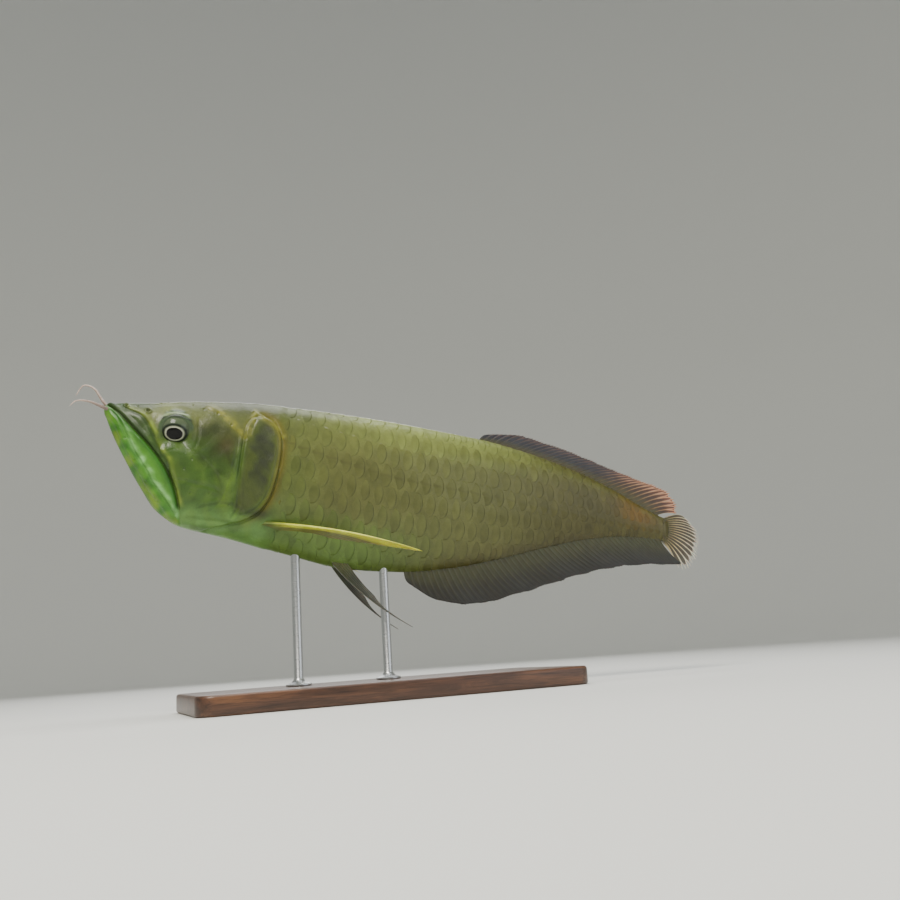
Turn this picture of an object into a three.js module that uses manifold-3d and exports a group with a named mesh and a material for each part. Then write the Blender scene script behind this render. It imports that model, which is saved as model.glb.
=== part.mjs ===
// A silver arowana, life size, swimming slightly nose-up, held on a plain display stand.
// Millimetres and +Z up. The fish heads towards -X, its left side faces -Y, and the origin is
// the middle of the base's underside, on the floor.
// The fish is drawn in a frame of its own: x runs from the snout to the tail, z is up, and the
// tip of the snout is the zero. That frame is then pitched and lifted onto the stand.
import * as THREE from "three";
import { mergeVertices } from "three/addons/utils/BufferGeometryUtils.js";
import Module from "manifold-3d";

const wasm = await Module();
wasm.setup();

const { clamp, degToRad, lerp } = THREE.MathUtils;

// Driving dimensions
const BODY_LENGTH = 560; // from the snout to the root of the tail fin
const PITCH = degToRad(8); // nose-up
const SNOUT_HEIGHT = 262; // tip of the snout over the floor
const GAP = 0.3; // clear gap between neighbours that touch
const ACROSS = 60; // reaches past the body's side from its middle plane

const BASE = { length: 340, width: 150, thickness: 16, corner: 14, chamfer: 2.5 };
const BASE_CENTRE = 232; // how far behind the snout the base's middle stands
const ROD = { radius: 4, foot: 11, footRim: 1.5, footHeight: 5, sunk: 16, front: 172, rear: 254 };

const along = (share) => share * BODY_LENGTH;
const scaled = (pairs) => pairs.map(([x, value]) => [along(x), along(value)]);

// Profile of the body, as shares of its length
const BACK = scaled([
  [-0.005, -0.004], [0.02, 0.001], [0.06, 0.007], [0.13, 0.0215], [0.22, 0.0345],
  [0.32, 0.0425], [0.45, 0.046], [0.6, 0.0435], [0.7, 0.034], [0.8, 0.016],
  [0.88, -0.007], [0.95, -0.033], [1, -0.049],
]);
const BELLY = scaled([
  [-0.005, -0.02], [0.0125, -0.052], [0.032, -0.082], [0.0625, -0.125], [0.09, -0.157],
  [0.127, -0.176], [0.2, -0.1855], [0.29, -0.2005], [0.39, -0.2125], [0.4875, -0.207],
  [0.57, -0.192], [0.66, -0.166], [0.75, -0.135], [0.84, -0.109], [0.92, -0.096], [1, -0.093],
]);
const HALF_WIDTH = scaled([
  [-0.005, 0.007], [0.01, 0.016], [0.03, 0.026], [0.06, 0.034], [0.1, 0.039],
  [0.17, 0.0435], [0.25, 0.0455], [0.37, 0.044], [0.5, 0.039], [0.65, 0.03],
  [0.8, 0.0195], [0.92, 0.011], [1, 0.0065],
]);
// Section of the body: how far down from the back it is widest, as a share of the depth, and how
// square its upper and lower halves are, where 2 is an ellipse
const WIDEST = [[0, 0.45], [60, 0.4], [150, 0.42], [400, 0.45], [560, 0.5]];
const UPPER_SQUARENESS = [[0, 2.2], [60, 2.9], [130, 2.6], [240, 2.2], [560, 2]];
const LOWER_SQUARENESS = [[0, 2], [60, 2], [140, 1.8], [260, 1.65], [560, 1.9]];
const HEAD_END = 130;
const VENT = 271;

// The head: lines and outlines on its side, as x and z
const MOUTH = [
  [-14, 4], [0, -4.5], [9, -12], [23, -25], [37, -38], [47, -49], [55, -60], [62, -72], [67, -86],
];
const JAW_ROOT = [[67, -86], [69, -93], [73, -112]];
const LIPS = [
  [6, -3], [15, -6.5], [28, -13], [38, -26], [46, -39], [53, -49], [58, -61], [64, -75], [69, -86],
  [64, -87], [59, -74], [52, -62.5], [44, -52], [34, -41.5], [20, -28.5], [6, -15.5], [2, -10],
];
const CHEEK_PLATES = [
  [[73, -31], [76, -12], [88, -5], [103, -16], [104, -34], [98, -46], [82, -42]],
  [
    [49, -41], [58, -36], [71, -36], [81, -46], [98, -50], [102, -66],
    [97, -80], [84, -88], [73, -85], [64, -66], [57, -52],
  ],
];
const PLATE_RISE = 1;
const GILL_COVER = {
  outline: [
    [112, -18], [114, -6], [121, 1.5], [131, 0], [138, -8], [141, -22], [140, -42],
    [138, -58], [134, -70], [127, -79], [117, -84], [111, -78], [111, -58], [112, -38],
  ],
  rise: 1.5,
  depth: 2.6,
  inner: 8, // clear of the middle plane
  middle: [126, -40],
};
const EYE = { x: 55.5, z: -18, radius: 14.5, bulge: 4.8, backDepth: 4 };
const GAZE = new THREE.Vector3(-0.1, -0.86, -0.5).normalize(); // the left eye looks down
const LID = { thickness: 1.6, opening: 8.8, rim: 1.6, tilt: 0.12 };
const NOSTRILS = [
  { x: 13.5, z: -3.5, tube: 1.9, bore: 1 },
  { x: 31, z: -6.5, tube: 2.4, bore: 1.4 },
];
const BARBEL = { rootRadius: 1.9, tipRadius: 0.45, steps: 12, sides: 7 };
const BARBEL_LINES = {
  left: [[4, -3, -9], [-7, -8, -7], [-17, -11, -5.5], [-26, -13, -7.5], [-30, -14, -13]],
  right: [[4, 3, -9], [-6, 7, 2], [-14, 10, 12], [-23, 12, 14], [-28, 13, 4]],
};

// The fins: a table gives a ray's length or its angle over the body's axis, in degrees, against
// its place from the first ray, 0, to the last, 1. Sag is how far a ray bows at its middle.
const FIN_EDGE = 0.55; // thickness of the membrane at its edge
const RAY_RIDGE = 0.45; // height of a ray over the membrane at its root
const SUNK = 3; // a root starts this far inside the body, and is trimmed to its skin
const DORSAL = {
  rays: 23, rows: 5, rootThickness: 2.2, from: 0.607, to: 0.975, upwards: 1,
  length: [[0, 12], [0.12, 30], [0.3, 37], [0.7, 42], [0.88, 45], [1, 25]],
  angle: [[0, 38], [0.25, 24], [0.6, 16], [0.85, 22], [1, 11]],
  sag: [-0.6, 2.2], wave: 2.5, waves: 0.8, wavesFrom: 0.1,
};
const ANAL = {
  rays: 27, rows: 5, rootThickness: 2.4, from: 0.489, to: 0.974, upwards: -1,
  length: [[0, 10], [0.07, 30], [0.2, 42], [0.5, 45], [0.85, 46], [1, 34]],
  angle: [[0, 62], [0.12, 52], [0.3, 38], [0.6, 29], [0.85, 31], [1, 43]],
  sag: [-0.8, 2.6], wave: 3, waves: 0.95, wavesFrom: 0,
};
const CAUDAL = {
  rays: 13, rows: 6, rootThickness: 3.2, rootInset: 1.5, tipAside: 7, sagAside: -2.2,
  length: [[0, 30], [0.12, 39], [0.5, 49], [0.8, 45], [0.92, 40], [1, 30]],
  angle: [[0, 12], [0.12, 5], [0.5, -6], [0.8, -24], [0.92, -33], [1, -39]],
};
// The left fins of each pair: their first and last roots on the body's side as x and z, and the
// tips of their first and last rays
const PECTORAL = {
  rays: 7, rows: 9, rootThickness: 3, firstRoot: [134, -89], lastRoot: [151, -92],
  firstTip: [261, -89, -109], lastTip: [194, -29, -97], spread: 0.8, sag: [3, -7, 4],
};
const PELVIC = {
  rays: 6, rows: 8, rootThickness: 2.4, firstRoot: [203, -113], lastRoot: [218, -113],
  firstTip: [281, -20, -166], lastTip: [248, -11, -138], sag: [-3.5, -1.5, -4],
  reach: [[0, 1], [0.14, 0.62], [0.3, 0.52], [1, 0.42]], // the first ray is a long filament
};

const vector = ([x, y, z]) => new THREE.Vector3(x, y, z);
const drawn = ([x, z]) => new THREE.Vector3(x, z, 0);

// A smooth curve through a table of values, which never overshoots them
function smooth(table) {
  const slopes = table.slice(1).map(([x, y], i) => (y - table[i][1]) / (x - table[i][0]));
  const tangents = table.map((_, i) => {
    const before = slopes[i - 1] ?? slopes[i];
    const after = slopes[i] ?? slopes[i - 1];
    return before * after <= 0 ? 0 : (2 * before * after) / (before + after);
  });
  return (x) => {
    let i = 0;
    while (i < table.length - 2 && x > table[i + 1][0]) i++;
    const [x0, y0] = table[i];
    const [x1, y1] = table[i + 1];
    const width = x1 - x0;
    const t = clamp((x - x0) / width, 0, 1);
    const blend = t * t * (3 - 2 * t);
    const bend = t * (1 - t) * width;
    return lerp(y0, y1, blend) + bend * ((1 - t) * tangents[i] - t * tangents[i + 1]);
  };
}

// A closed outline rounded through a few points
function rounded(points, divisions) {
  const curve = new THREE.CatmullRomCurve3(points.map(drawn), true, "centripetal");
  return curve.getPoints(divisions).slice(0, -1).map((p) => [p.x, p.y]);
}

// A thin ribbon along a curve through a few points
function ribbon(points, divisions, width) {
  const curve = new THREE.CatmullRomCurve3(points.map(drawn), false, "centripetal");
  const edge = (side) =>
    curve.getPoints(divisions).map((p, i) => {
      const tangent = curve.getTangent(i / divisions);
      return [p.x - (side * tangent.y * width) / 2, p.y + (side * tangent.x * width) / 2];
    });
  return [...edge(-1), ...edge(1).reverse()];
}

// Geometry from points and triangles
function indexed(points, triangles) {
  const geometry = new THREE.BufferGeometry();
  const numbers = points.flatMap((p) => [p.x, p.y, p.z]);
  geometry.setAttribute("position", new THREE.Float32BufferAttribute(numbers, 3));
  geometry.setIndex(triangles.flat());
  return geometry;
}

// The same geometry with its faces turned round
function turnedOut(geometry) {
  const index = [...geometry.index.array];
  for (let i = 0; i < index.length; i += 3) [index[i + 1], index[i + 2]] = [index[i + 2], index[i + 1]];
  geometry.setIndex(index);
  return geometry;
}

// A closed tube through rings of equal count, each end closed by a fan to a point
function loft(rings, startPoint, endPoint) {
  const count = rings[0].length;
  const triangles = [];
  for (let r = 0; r < rings.length - 1; r++)
    for (let k = 0; k < count; k++) {
      const a = r * count + k;
      const b = r * count + ((k + 1) % count);
      triangles.push([a, a + count, b], [b, a + count, b + count]);
    }
  const lastRing = (rings.length - 1) * count;
  const start = rings.length * count;
  const end = start + 1;
  for (let k = 0; k < count; k++) {
    const next = (k + 1) % count;
    triangles.push([start, k, next], [end, lastRing + next, lastRing + k]);
  }
  return indexed([...rings.flat(), startPoint, endPoint], triangles);
}

// A prism over an outline drawn in x and z, from one y to another
function prism(outline, from, to) {
  const shape = new THREE.Shape(outline.map(([x, z]) => new THREE.Vector2(x, z)));
  const geometry = new THREE.ExtrudeGeometry(shape, { depth: to - from, bevelEnabled: false });
  geometry.rotateX(Math.PI / 2);
  geometry.translate(0, to, 0);
  return geometry;
}

// A solid that can be joined and cut, from closed geometry
function solid(geometry) {
  const bare = geometry.clone();
  for (const name of ["normal", "uv"]) bare.deleteAttribute(name);
  const merged = mergeVertices(bare, 1e-4);
  return new wasm.Manifold(new wasm.Mesh({
    numProp: 3,
    vertProperties: merged.attributes.position.array,
    triVerts: new Uint32Array(merged.index.array),
  }));
}

const facingOut = (geometry) => (solid(geometry).volume() > 0 ? geometry : turnedOut(geometry));

// Paired pieces are made on the left, at -Y. Side -1 keeps one there and side 1 mirrors it.
const onSide = (shape, side) => (side < 0 ? shape : shape.mirror([0, 1, 0]));

// The largest closed surface of a solid
const largest = (shape) => shape.decompose().reduce((a, b) => (a.volume() > b.volume() ? a : b));

const backLine = smooth(BACK);
const bellyLine = smooth(BELLY);
const halfWidth = smooth(HALF_WIDTH);
const widest = smooth(WIDEST);
const upperSquareness = smooth(UPPER_SQUARENESS);
const lowerSquareness = smooth(LOWER_SQUARENESS);

// A point of the body's skin on its right side: angle 0 is the back and PI the belly
function skinPoint(x, angle, grow = 0) {
  const top = backLine(x) + grow;
  const bottom = bellyLine(x) - grow;
  const middle = lerp(top, bottom, widest(x));
  const upper = angle <= Math.PI / 2;
  const power = 2 / (upper ? upperSquareness(x) : lowerSquareness(x));
  const reach = upper ? top - middle : middle - bottom;
  const out = Math.max(Math.sin(angle), 0) ** power;
  const lift = Math.sign(Math.cos(angle)) * Math.abs(Math.cos(angle)) ** power;
  return new THREE.Vector3(x, Math.max(halfWidth(x) + grow, 0.5) * out, middle + reach * lift);
}

// Half the body's width at a height, found by bisection between the back and the belly
function sideAt(x, z) {
  let low = 0;
  let high = Math.PI;
  for (let step = 0; step < 24; step++) {
    const angle = (low + high) / 2;
    if (skinPoint(x, angle).z > z) low = angle;
    else high = angle;
  }
  return skinPoint(x, (low + high) / 2).y;
}

// A place on the left side of the body, with its outward normal
function leftSkin(x, z) {
  const slopeX = (sideAt(x + 1, z) - sideAt(x - 1, z)) / 2;
  const slopeZ = (sideAt(x, z + 1) - sideAt(x, z - 1)) / 2;
  return {
    point: new THREE.Vector3(x, -sideAt(x, z), z),
    normal: new THREE.Vector3(-slopeX, -1, -slopeZ).normalize(),
  };
}

// The whole body as one closed skin, grown by a little or, with a negative number, shrunk. Its
// steps are shorter on the head.
function bodySkin(grow = 0, { sideFaces = 13, step = 5 } = {}) {
  const stations = [];
  for (let x = -2.8; x < 150; x += step + x * 0.03) stations.push(x);
  for (let x = 160; x < BODY_LENGTH - 8; x += 3 * step) stations.push(x);
  stations.push(BODY_LENGTH);
  const rings = stations.map((x) => {
    const right = [];
    for (let k = 0; k <= sideFaces; k++) right.push(skinPoint(x, (Math.PI * k) / sideFaces, grow));
    const left = right.slice(1, -1).reverse().map((p) => new THREE.Vector3(p.x, -p.y, p.z));
    return [...right, ...left];
  });
  for (const p of rings[0]) p.x -= grow;
  for (const p of rings.at(-1)) p.x += grow;
  const centre = (ring) =>
    ring.reduce((sum, p) => sum.add(p), new THREE.Vector3()).divideScalar(ring.length);
  const nose = centre(rings[0]);
  const stern = centre(rings.at(-1));
  nose.x -= 1.2;
  stern.x += 0.8;
  return solid(loft(rings, nose, stern));
}

const HIDDEN = { sideFaces: 7, step: 14 }; // a bed under a plate needs few faces
const GROWN_BODY = bodySkin(GAP);
const trimmed = (geometry) => solid(geometry).subtract(GROWN_BODY);

const EYE_DEPTH = EYE.radius - EYE.bulge; // from the ball's centre out to the cheek's skin
const EYE_CENTRE = new THREE.Vector3(EYE.x, EYE_DEPTH - sideAt(EYE.x, EYE.z), EYE.z);
const upright = new THREE.Vector3(0, 1, 0);
const toGaze = new THREE.Quaternion().setFromUnitVectors(upright, GAZE);

// The left eyeball, turned to its gaze: a ball with a slight clear bulge over its pupil, and cut
// flat behind, where the two eyes come near each other
function eyeball(grow = 0) {
  const steps = 8;
  const back = EYE.backDepth + grow;
  const first = Math.acos(back / (EYE.radius + grow));
  const profile = [new THREE.Vector2(0, -back)];
  for (let i = 0; i < steps; i++) {
    const angle = lerp(first, Math.PI, i / steps);
    const bulge = 1 + 0.03 * Math.exp(-(((Math.PI - angle) / 0.45) ** 2));
    const radius = EYE.radius * bulge + grow;
    profile.push(new THREE.Vector2(radius * Math.sin(angle), -radius * Math.cos(angle)));
  }
  profile.push(new THREE.Vector2(0, EYE.radius * 1.03 + grow));
  const ball = new THREE.LatheGeometry(profile, 18);
  ball.applyQuaternion(toGaze);
  ball.translate(...EYE_CENTRE.toArray());
  return solid(ball);
}

// The left lid: a shell round the eye with a round opening about the line of its gaze, and a low
// rim where the eye meets the cheek
function lid() {
  const opening = new THREE.CylinderGeometry(2 * EYE.radius, 2 * EYE.radius, EYE.radius, 4);
  opening.applyQuaternion(toGaze);
  const ahead = EYE_CENTRE.clone().addScaledVector(GAZE, LID.opening + EYE.radius / 2);
  opening.translate(...ahead.toArray());
  const rim = new THREE.TorusGeometry(
    Math.sqrt(EYE.radius ** 2 - EYE_DEPTH ** 2) + 0.75 * LID.rim, LID.rim, 5, 20);
  rim.rotateX(Math.PI / 2);
  rim.rotateZ(-LID.tilt);
  rim.translate(EYE.x, EYE_CENTRE.y - EYE_DEPTH + GAP, EYE.z);
  return eyeball(LID.thickness).subtract(solid(opening)).add(solid(rim));
}

// A short round piece that stands on the left side of the snout, along the skin's normal
function onSnout({ x, z }, foot, top, length, sides, lift) {
  const { point, normal } = leftSkin(x, z);
  const geometry = new THREE.CylinderGeometry(top, foot, length, sides);
  geometry.applyQuaternion(new THREE.Quaternion().setFromUnitVectors(upright, normal));
  geometry.translate(...point.addScaledVector(normal, lift).toArray());
  return solid(geometry);
}

const nostrilTube = (n) => onSnout(n, 1.2 * n.tube, 0.75 * n.tube, 5, 9, -0.8);
const nostrilBore = (n) => onSnout(n, 0.7 * n.bore, n.bore, 4, 7, 1.2);

// What stands out from the left side of the head, or is sunk into it
function raisedForms() {
  const raised = bodySkin(PLATE_RISE);
  const plates = CHEEK_PLATES.map((outline) => prism(rounded(outline, 20), -ACROSS, 0));
  plates.push(prism(LIPS, -ACROSS, -1));
  const forms = plates.map((plate) => solid(plate).intersect(raised));
  forms.push(lid(), ...NOSTRILS.map(nostrilTube));
  return forms;
}

function sunkForms() {
  return [eyeball(GAP), ...NOSTRILS.map(nostrilBore), coverBed()];
}

// The left gill cover, a curved plate let into the side behind the cheek
function gillCover() {
  const { outline, inner, rise, depth } = GILL_COVER;
  const column = solid(prism(rounded(outline, 26), -ACROSS, -inner));
  return largest(column.intersect(bodySkin(rise)).subtract(bodySkin(-depth, HIDDEN)));
}

// The hollow that the left gill cover lies in, wider all round by the gap
function coverBed() {
  const { outline, inner, depth, middle } = GILL_COVER;
  const wider = outline.map(([x, z]) => [
    x + Math.sign(x - middle[0]) * GAP,
    z + Math.sign(z - middle[1]) * GAP,
  ]);
  const column = solid(prism(rounded(wider, 26), -ACROSS, GAP - inner));
  return column.subtract(bodySkin(-depth - GAP, HIDDEN));
}

// The flesh: the whole body with its raised and sunk forms, parted by thin cuts
function flesh() {
  let whole = bodySkin();
  for (const side of [-1, 1]) {
    for (const form of raisedForms()) whole = whole.add(onSide(form, side));
    for (const form of sunkForms()) whole = whole.subtract(onSide(form, side));
  }
  const parting = (line, divisions) =>
    solid(prism(ribbon(line, divisions, GAP), -ACROSS, ACROSS));
  whole = whole.subtract(parting(MOUTH, 12)).subtract(parting(JAW_ROOT, 4));
  for (const x of [HEAD_END, VENT]) whole = whole.subtract(parting([[x, 60], [x + 2, -160]], 1));
  const scrap = 200; // mm3
  const pieces = whole.decompose().filter((piece) => piece.volume() > scrap);
  if (pieces.length !== 4) throw new Error(`the body parted into ${pieces.length} pieces`);
  const rear = (piece) => piece.boundingBox().max[0];
  const [jaw, head, trunk, tail] = pieces.sort((a, b) => rear(a) - rear(b));
  return { jaw, head, trunk, tail };
}

// A fin: a thin blade over ray(u, v), u across the rays and v from root to tip. Each ray is a
// ridge on both faces, and both faces are split into the same triangles.
function finBlade({ rays, rows, rootThickness }, ray) {
  const columns = 2 * rays - 1;
  const at = (c, r) => ray(clamp(c / (columns - 1), 0, 1), clamp(r / (rows - 1), 0, 1));
  const face = [];
  for (let c = 0; c < columns; c++)
    for (let r = 0; r < rows; r++) {
      const v = r / (rows - 1);
      const normal = at(c + 1, r).sub(at(c - 1, r)).cross(at(c, r + 1).sub(at(c, r - 1))).normalize();
      const ridge = c % 2 === 0 ? RAY_RIDGE * (1 - 0.75 * v) : 0;
      const half = lerp(rootThickness, FIN_EDGE, Math.sqrt(v)) / 2 + ridge;
      face.push({ point: at(c, r), offset: normal.multiplyScalar(half) });
    }
  const points = [
    ...face.map(({ point, offset }) => point.clone().add(offset)),
    ...face.map(({ point, offset }) => point.clone().sub(offset)),
  ];
  const back = face.length;
  const triangles = [];
  const quad = (a, b, c, d) => triangles.push([a, b, c], [a, c, d]);
  for (let c = 0; c < columns - 1; c++) {
    const root = c * rows;
    const tip = root + rows - 1;
    for (let a = root; a < tip; a++) {
      quad(a, a + rows, a + rows + 1, a + 1);
      triangles.push([back + a, back + a + rows + 1, back + a + rows]);
      triangles.push([back + a, back + a + 1, back + a + rows + 1]);
    }
    quad(root, back + root, back + root + rows, root + rows);
    quad(tip, tip + rows, back + tip + rows, back + tip);
  }
  const lastRay = (columns - 1) * rows;
  for (let r = 0; r < rows - 1; r++) {
    quad(r, r + 1, back + r + 1, back + r);
    quad(lastRay + r, back + lastRay + r, back + lastRay + r + 1, lastRay + r + 1);
  }
  return facingOut(indexed(points, triangles));
}

// A point along a ray that bows between its root and its tip
const bowed = (root, tip, sag, v) => root.clone().lerp(tip, v).addScaledVector(sag, 4 * v * (1 - v));

// The fin along the back or the belly: its rays lean back from the body's edge
function medianFin(fin, edgeLine) {
  const length = smooth(fin.length);
  const angle = smooth(fin.angle);
  const sag = new THREE.Vector3(fin.sag[0], 0, fin.upwards * fin.sag[1]);
  const blade = finBlade(fin, (u, v) => {
    const x = along(lerp(fin.from, fin.to, u));
    const lean = degToRad(angle(u));
    const reach = length(u) + SUNK;
    const root = new THREE.Vector3(x, 0, edgeLine(x) - fin.upwards * SUNK);
    const aside = fin.wave * Math.sin(2 * Math.PI * (fin.wavesFrom + fin.waves * u));
    const out = new THREE.Vector3(reach * Math.cos(lean), aside, fin.upwards * reach * Math.sin(lean));
    return bowed(root, root.clone().add(out), sag, v);
  });
  return trimmed(blade);
}

// The tail fin: a small fan whose rays spread from the end of the body
function caudalFin() {
  const length = smooth(CAUDAL.length);
  const angle = smooth(CAUDAL.angle);
  const top = backLine(BODY_LENGTH) - CAUDAL.rootInset;
  const bottom = bellyLine(BODY_LENGTH) + CAUDAL.rootInset;
  const blade = finBlade(CAUDAL, (u, v) => {
    const heading = degToRad(angle(u));
    const reach = length(u) + 2 * SUNK;
    const root = new THREE.Vector3(BODY_LENGTH - 2 * SUNK, 0, lerp(top, bottom, u));
    const out = new THREE.Vector3(reach * Math.cos(heading), CAUDAL.tipAside, reach * Math.sin(heading));
    const sag = new THREE.Vector3(0, CAUDAL.sagAside, 0.5 - u);
    return bowed(root, root.clone().add(out), sag, v);
  });
  return trimmed(blade);
}

// The left fin of a pair: its root runs along the body's side
const sideRoot = ([x, z]) => new THREE.Vector3(x, SUNK - sideAt(x, z), z);

// The left pectoral fin, held out like a wing and swept back
function pectoralFin() {
  const blade = finBlade(PECTORAL, (u, v) => {
    const root = sideRoot(PECTORAL.firstRoot).lerp(sideRoot(PECTORAL.lastRoot), u);
    const tip = vector(PECTORAL.firstTip).lerp(vector(PECTORAL.lastTip), u ** PECTORAL.spread);
    return bowed(root, tip, vector(PECTORAL.sag).multiplyScalar(1 - 0.6 * u), v);
  });
  return trimmed(blade);
}

// The left pelvic fin: a small fan whose first ray runs out into a filament
function pelvicFin() {
  const reach = smooth(PELVIC.reach);
  const lastRoot = sideRoot(PELVIC.lastRoot);
  const lastEnd = vector(PELVIC.lastTip).sub(lastRoot).divideScalar(reach(1)).add(lastRoot);
  const blade = finBlade(PELVIC, (u, v) => {
    const root = sideRoot(PELVIC.firstRoot).lerp(lastRoot, u);
    const tip = root.clone().lerp(vector(PELVIC.firstTip).lerp(lastEnd, u), reach(u));
    return bowed(root, tip, vector(PELVIC.sag).multiplyScalar(reach(u)), v);
  });
  return trimmed(blade);
}

// A barbel: a tube that tapers from the chin to its tip
function barbel(line) {
  const curve = new THREE.CatmullRomCurve3(line.map(vector), false, "centripetal");
  const frames = curve.computeFrenetFrames(BARBEL.steps, false);
  const rings = [];
  for (let i = 0; i <= BARBEL.steps; i++) {
    const share = i / BARBEL.steps;
    const radius = lerp(BARBEL.rootRadius, BARBEL.tipRadius, share);
    const ring = [];
    for (let k = 0; k < BARBEL.sides; k++) {
      const turn = (2 * Math.PI * k) / BARBEL.sides;
      const point = curve.getPointAt(share);
      point.addScaledVector(frames.normals[i], radius * Math.cos(turn));
      point.addScaledVector(frames.binormals[i], radius * Math.sin(turn));
      ring.push(point);
    }
    rings.push(ring);
  }
  const tip = curve.getPointAt(1).addScaledVector(curve.getTangentAt(1), BARBEL.tipRadius);
  return trimmed(facingOut(loft(rings, curve.getPointAt(0), tip)));
}

// The stand's board, with rounded corners and a chamfered edge
function standBase() {
  const { length, width, thickness, corner, chamfer } = BASE;
  const plate = new THREE.Shape();
  const x = length / 2 - chamfer - corner;
  const y = width / 2 - chamfer - corner;
  const quarter = Math.PI / 2;
  plate.absarc(x, -y, corner, -quarter, 0, false);
  plate.absarc(x, y, corner, 0, quarter, false);
  plate.absarc(-x, y, corner, quarter, 2 * quarter, false);
  plate.absarc(-x, -y, corner, 2 * quarter, 3 * quarter, false);
  const board = new THREE.ExtrudeGeometry(plate, {
    depth: thickness - 2 * chamfer,
    bevelThickness: chamfer,
    bevelSize: chamfer,
    bevelSegments: 1,
    curveSegments: 4,
  });
  board.translate(0, 0, chamfer);
  return solid(board);
}

// A rod with a flared foot, from the board up to the belly at x
function standRod(x, toStand, bodyOnStand) {
  const meets = new THREE.Vector3(x, 0, bellyLine(x)).applyMatrix4(toStand);
  const foot = BASE.thickness + GAP;
  const top = meets.z + ROD.sunk;
  const profile = [
    [0, foot], [ROD.foot, foot], [ROD.foot, foot + ROD.footRim],
    [1.4 * ROD.radius, foot + ROD.footHeight], [ROD.radius, foot + 1.2 * ROD.footHeight],
    [ROD.radius, top], [0, top],
  ];
  const rod = new THREE.LatheGeometry(profile.map(([r, z]) => new THREE.Vector2(r, z)), 20);
  rod.rotateX(Math.PI / 2);
  rod.translate(meets.x, 0, 0);
  return solid(rod).subtract(bodyOnStand);
}

// Finishes
const finish = (color, roughness, metalness = 0) =>
  new THREE.MeshStandardMaterial({ color, roughness, metalness });
const OLIVE_SKIN = finish(0x8b8750, 0.38);
const GREEN_JAW = finish(0x93b45c, 0.34);
const GILL_GOLD = finish(0x8f8a4d, 0.34);
const ROSY_FIN = finish(0x9a7a62, 0.5);
const DARK_FIN = finish(0x5f5a41, 0.5);
const YELLOW_FIN = finish(0xb4b545, 0.45);
const WET_EYE = finish(0x2c332b, 0.12);
const BARBEL_SKIN = finish(0x7d6152, 0.5);
const WALNUT = finish(0x4a3224, 0.45);
const STEEL = finish(0xb9bcc0, 0.3, 1);

// A named mesh from a solid's largest closed surface
function piece(name, shape, material) {
  const { vertProperties, triVerts } = largest(shape).simplify(0.02).getMesh();
  const geometry = new THREE.BufferGeometry();
  geometry.setAttribute("position", new THREE.Float32BufferAttribute(vertProperties, 3));
  geometry.setIndex([...triVerts]);
  geometry.computeVertexNormals();
  const mesh = new THREE.Mesh(geometry, material);
  mesh.name = name;
  return mesh;
}

// Assembly
const fish = new THREE.Group();
fish.rotation.y = PITCH;
fish.position.set(-BASE_CENTRE * Math.cos(PITCH), 0, SNOUT_HEIGHT);
fish.updateMatrixWorld(true);

const { jaw, head, trunk, tail } = flesh();
fish.add(piece("lower_jaw", jaw, GREEN_JAW));
fish.add(piece("head", head, OLIVE_SKIN));
fish.add(piece("trunk", trunk, OLIVE_SKIN));
fish.add(piece("tail", tail, OLIVE_SKIN));
for (const [name, side] of [["left", -1], ["right", 1]]) {
  fish.add(piece(`gill_cover_${name}`, onSide(gillCover(), side), GILL_GOLD));
  fish.add(piece(`eye_${name}`, onSide(eyeball(), side), WET_EYE));
  fish.add(piece(`barbel_${name}`, barbel(BARBEL_LINES[name]), BARBEL_SKIN));
  fish.add(piece(`pectoral_fin_${name}`, onSide(pectoralFin(), side), YELLOW_FIN));
  fish.add(piece(`pelvic_fin_${name}`, onSide(pelvicFin(), side), DARK_FIN));
}
fish.add(piece("dorsal_fin", medianFin(DORSAL, backLine), ROSY_FIN));
fish.add(piece("anal_fin", medianFin(ANAL, bellyLine), DARK_FIN));
fish.add(piece("caudal_fin", caudalFin(), ROSY_FIN));

const bodyOnStand = GROWN_BODY.transform(fish.matrixWorld.elements);
const model = new THREE.Group();
model.add(fish);
model.add(piece("stand_base", standBase(), WALNUT));
model.add(piece("stand_rod_front", standRod(ROD.front, fish.matrixWorld, bodyOnStand), STEEL));
model.add(piece("stand_rod_rear", standRod(ROD.rear, fish.matrixWorld, bodyOnStand), STEEL));

export default model;
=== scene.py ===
"""The looks of a life-size silver arowana that swims slightly nose-up on a plain display stand."""

import logging
import math
from dataclasses import dataclass, field
from enum import Enum

import bmesh
import bpy
import numpy as np
from mathutils import Matrix, Vector


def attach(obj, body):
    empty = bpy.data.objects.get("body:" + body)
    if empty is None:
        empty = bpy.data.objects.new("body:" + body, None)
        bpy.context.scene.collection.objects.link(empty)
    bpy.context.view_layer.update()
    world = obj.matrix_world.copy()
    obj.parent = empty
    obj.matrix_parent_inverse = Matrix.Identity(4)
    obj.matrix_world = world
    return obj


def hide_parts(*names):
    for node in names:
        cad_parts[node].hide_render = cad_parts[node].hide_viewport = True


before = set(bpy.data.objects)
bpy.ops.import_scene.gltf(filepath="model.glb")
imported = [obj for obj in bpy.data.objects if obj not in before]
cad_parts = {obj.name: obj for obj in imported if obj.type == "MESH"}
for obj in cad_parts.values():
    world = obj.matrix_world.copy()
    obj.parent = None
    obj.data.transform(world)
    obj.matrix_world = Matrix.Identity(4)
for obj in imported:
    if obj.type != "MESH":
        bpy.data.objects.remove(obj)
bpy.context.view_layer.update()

log = logging.getLogger("arowana")
Pairs = list[tuple[float, float]]
Triple = tuple[float, float, float]
Grid = np.ndarray
Socket = bpy.types.NodeSocket

MM = 0.001
TINY = 1e-9
FULL_TURN = 2 * math.pi
MIRROR = (1.0, -1.0, 1.0)
SIDES = {"left": -1.0, "right": 1.0}


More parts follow.
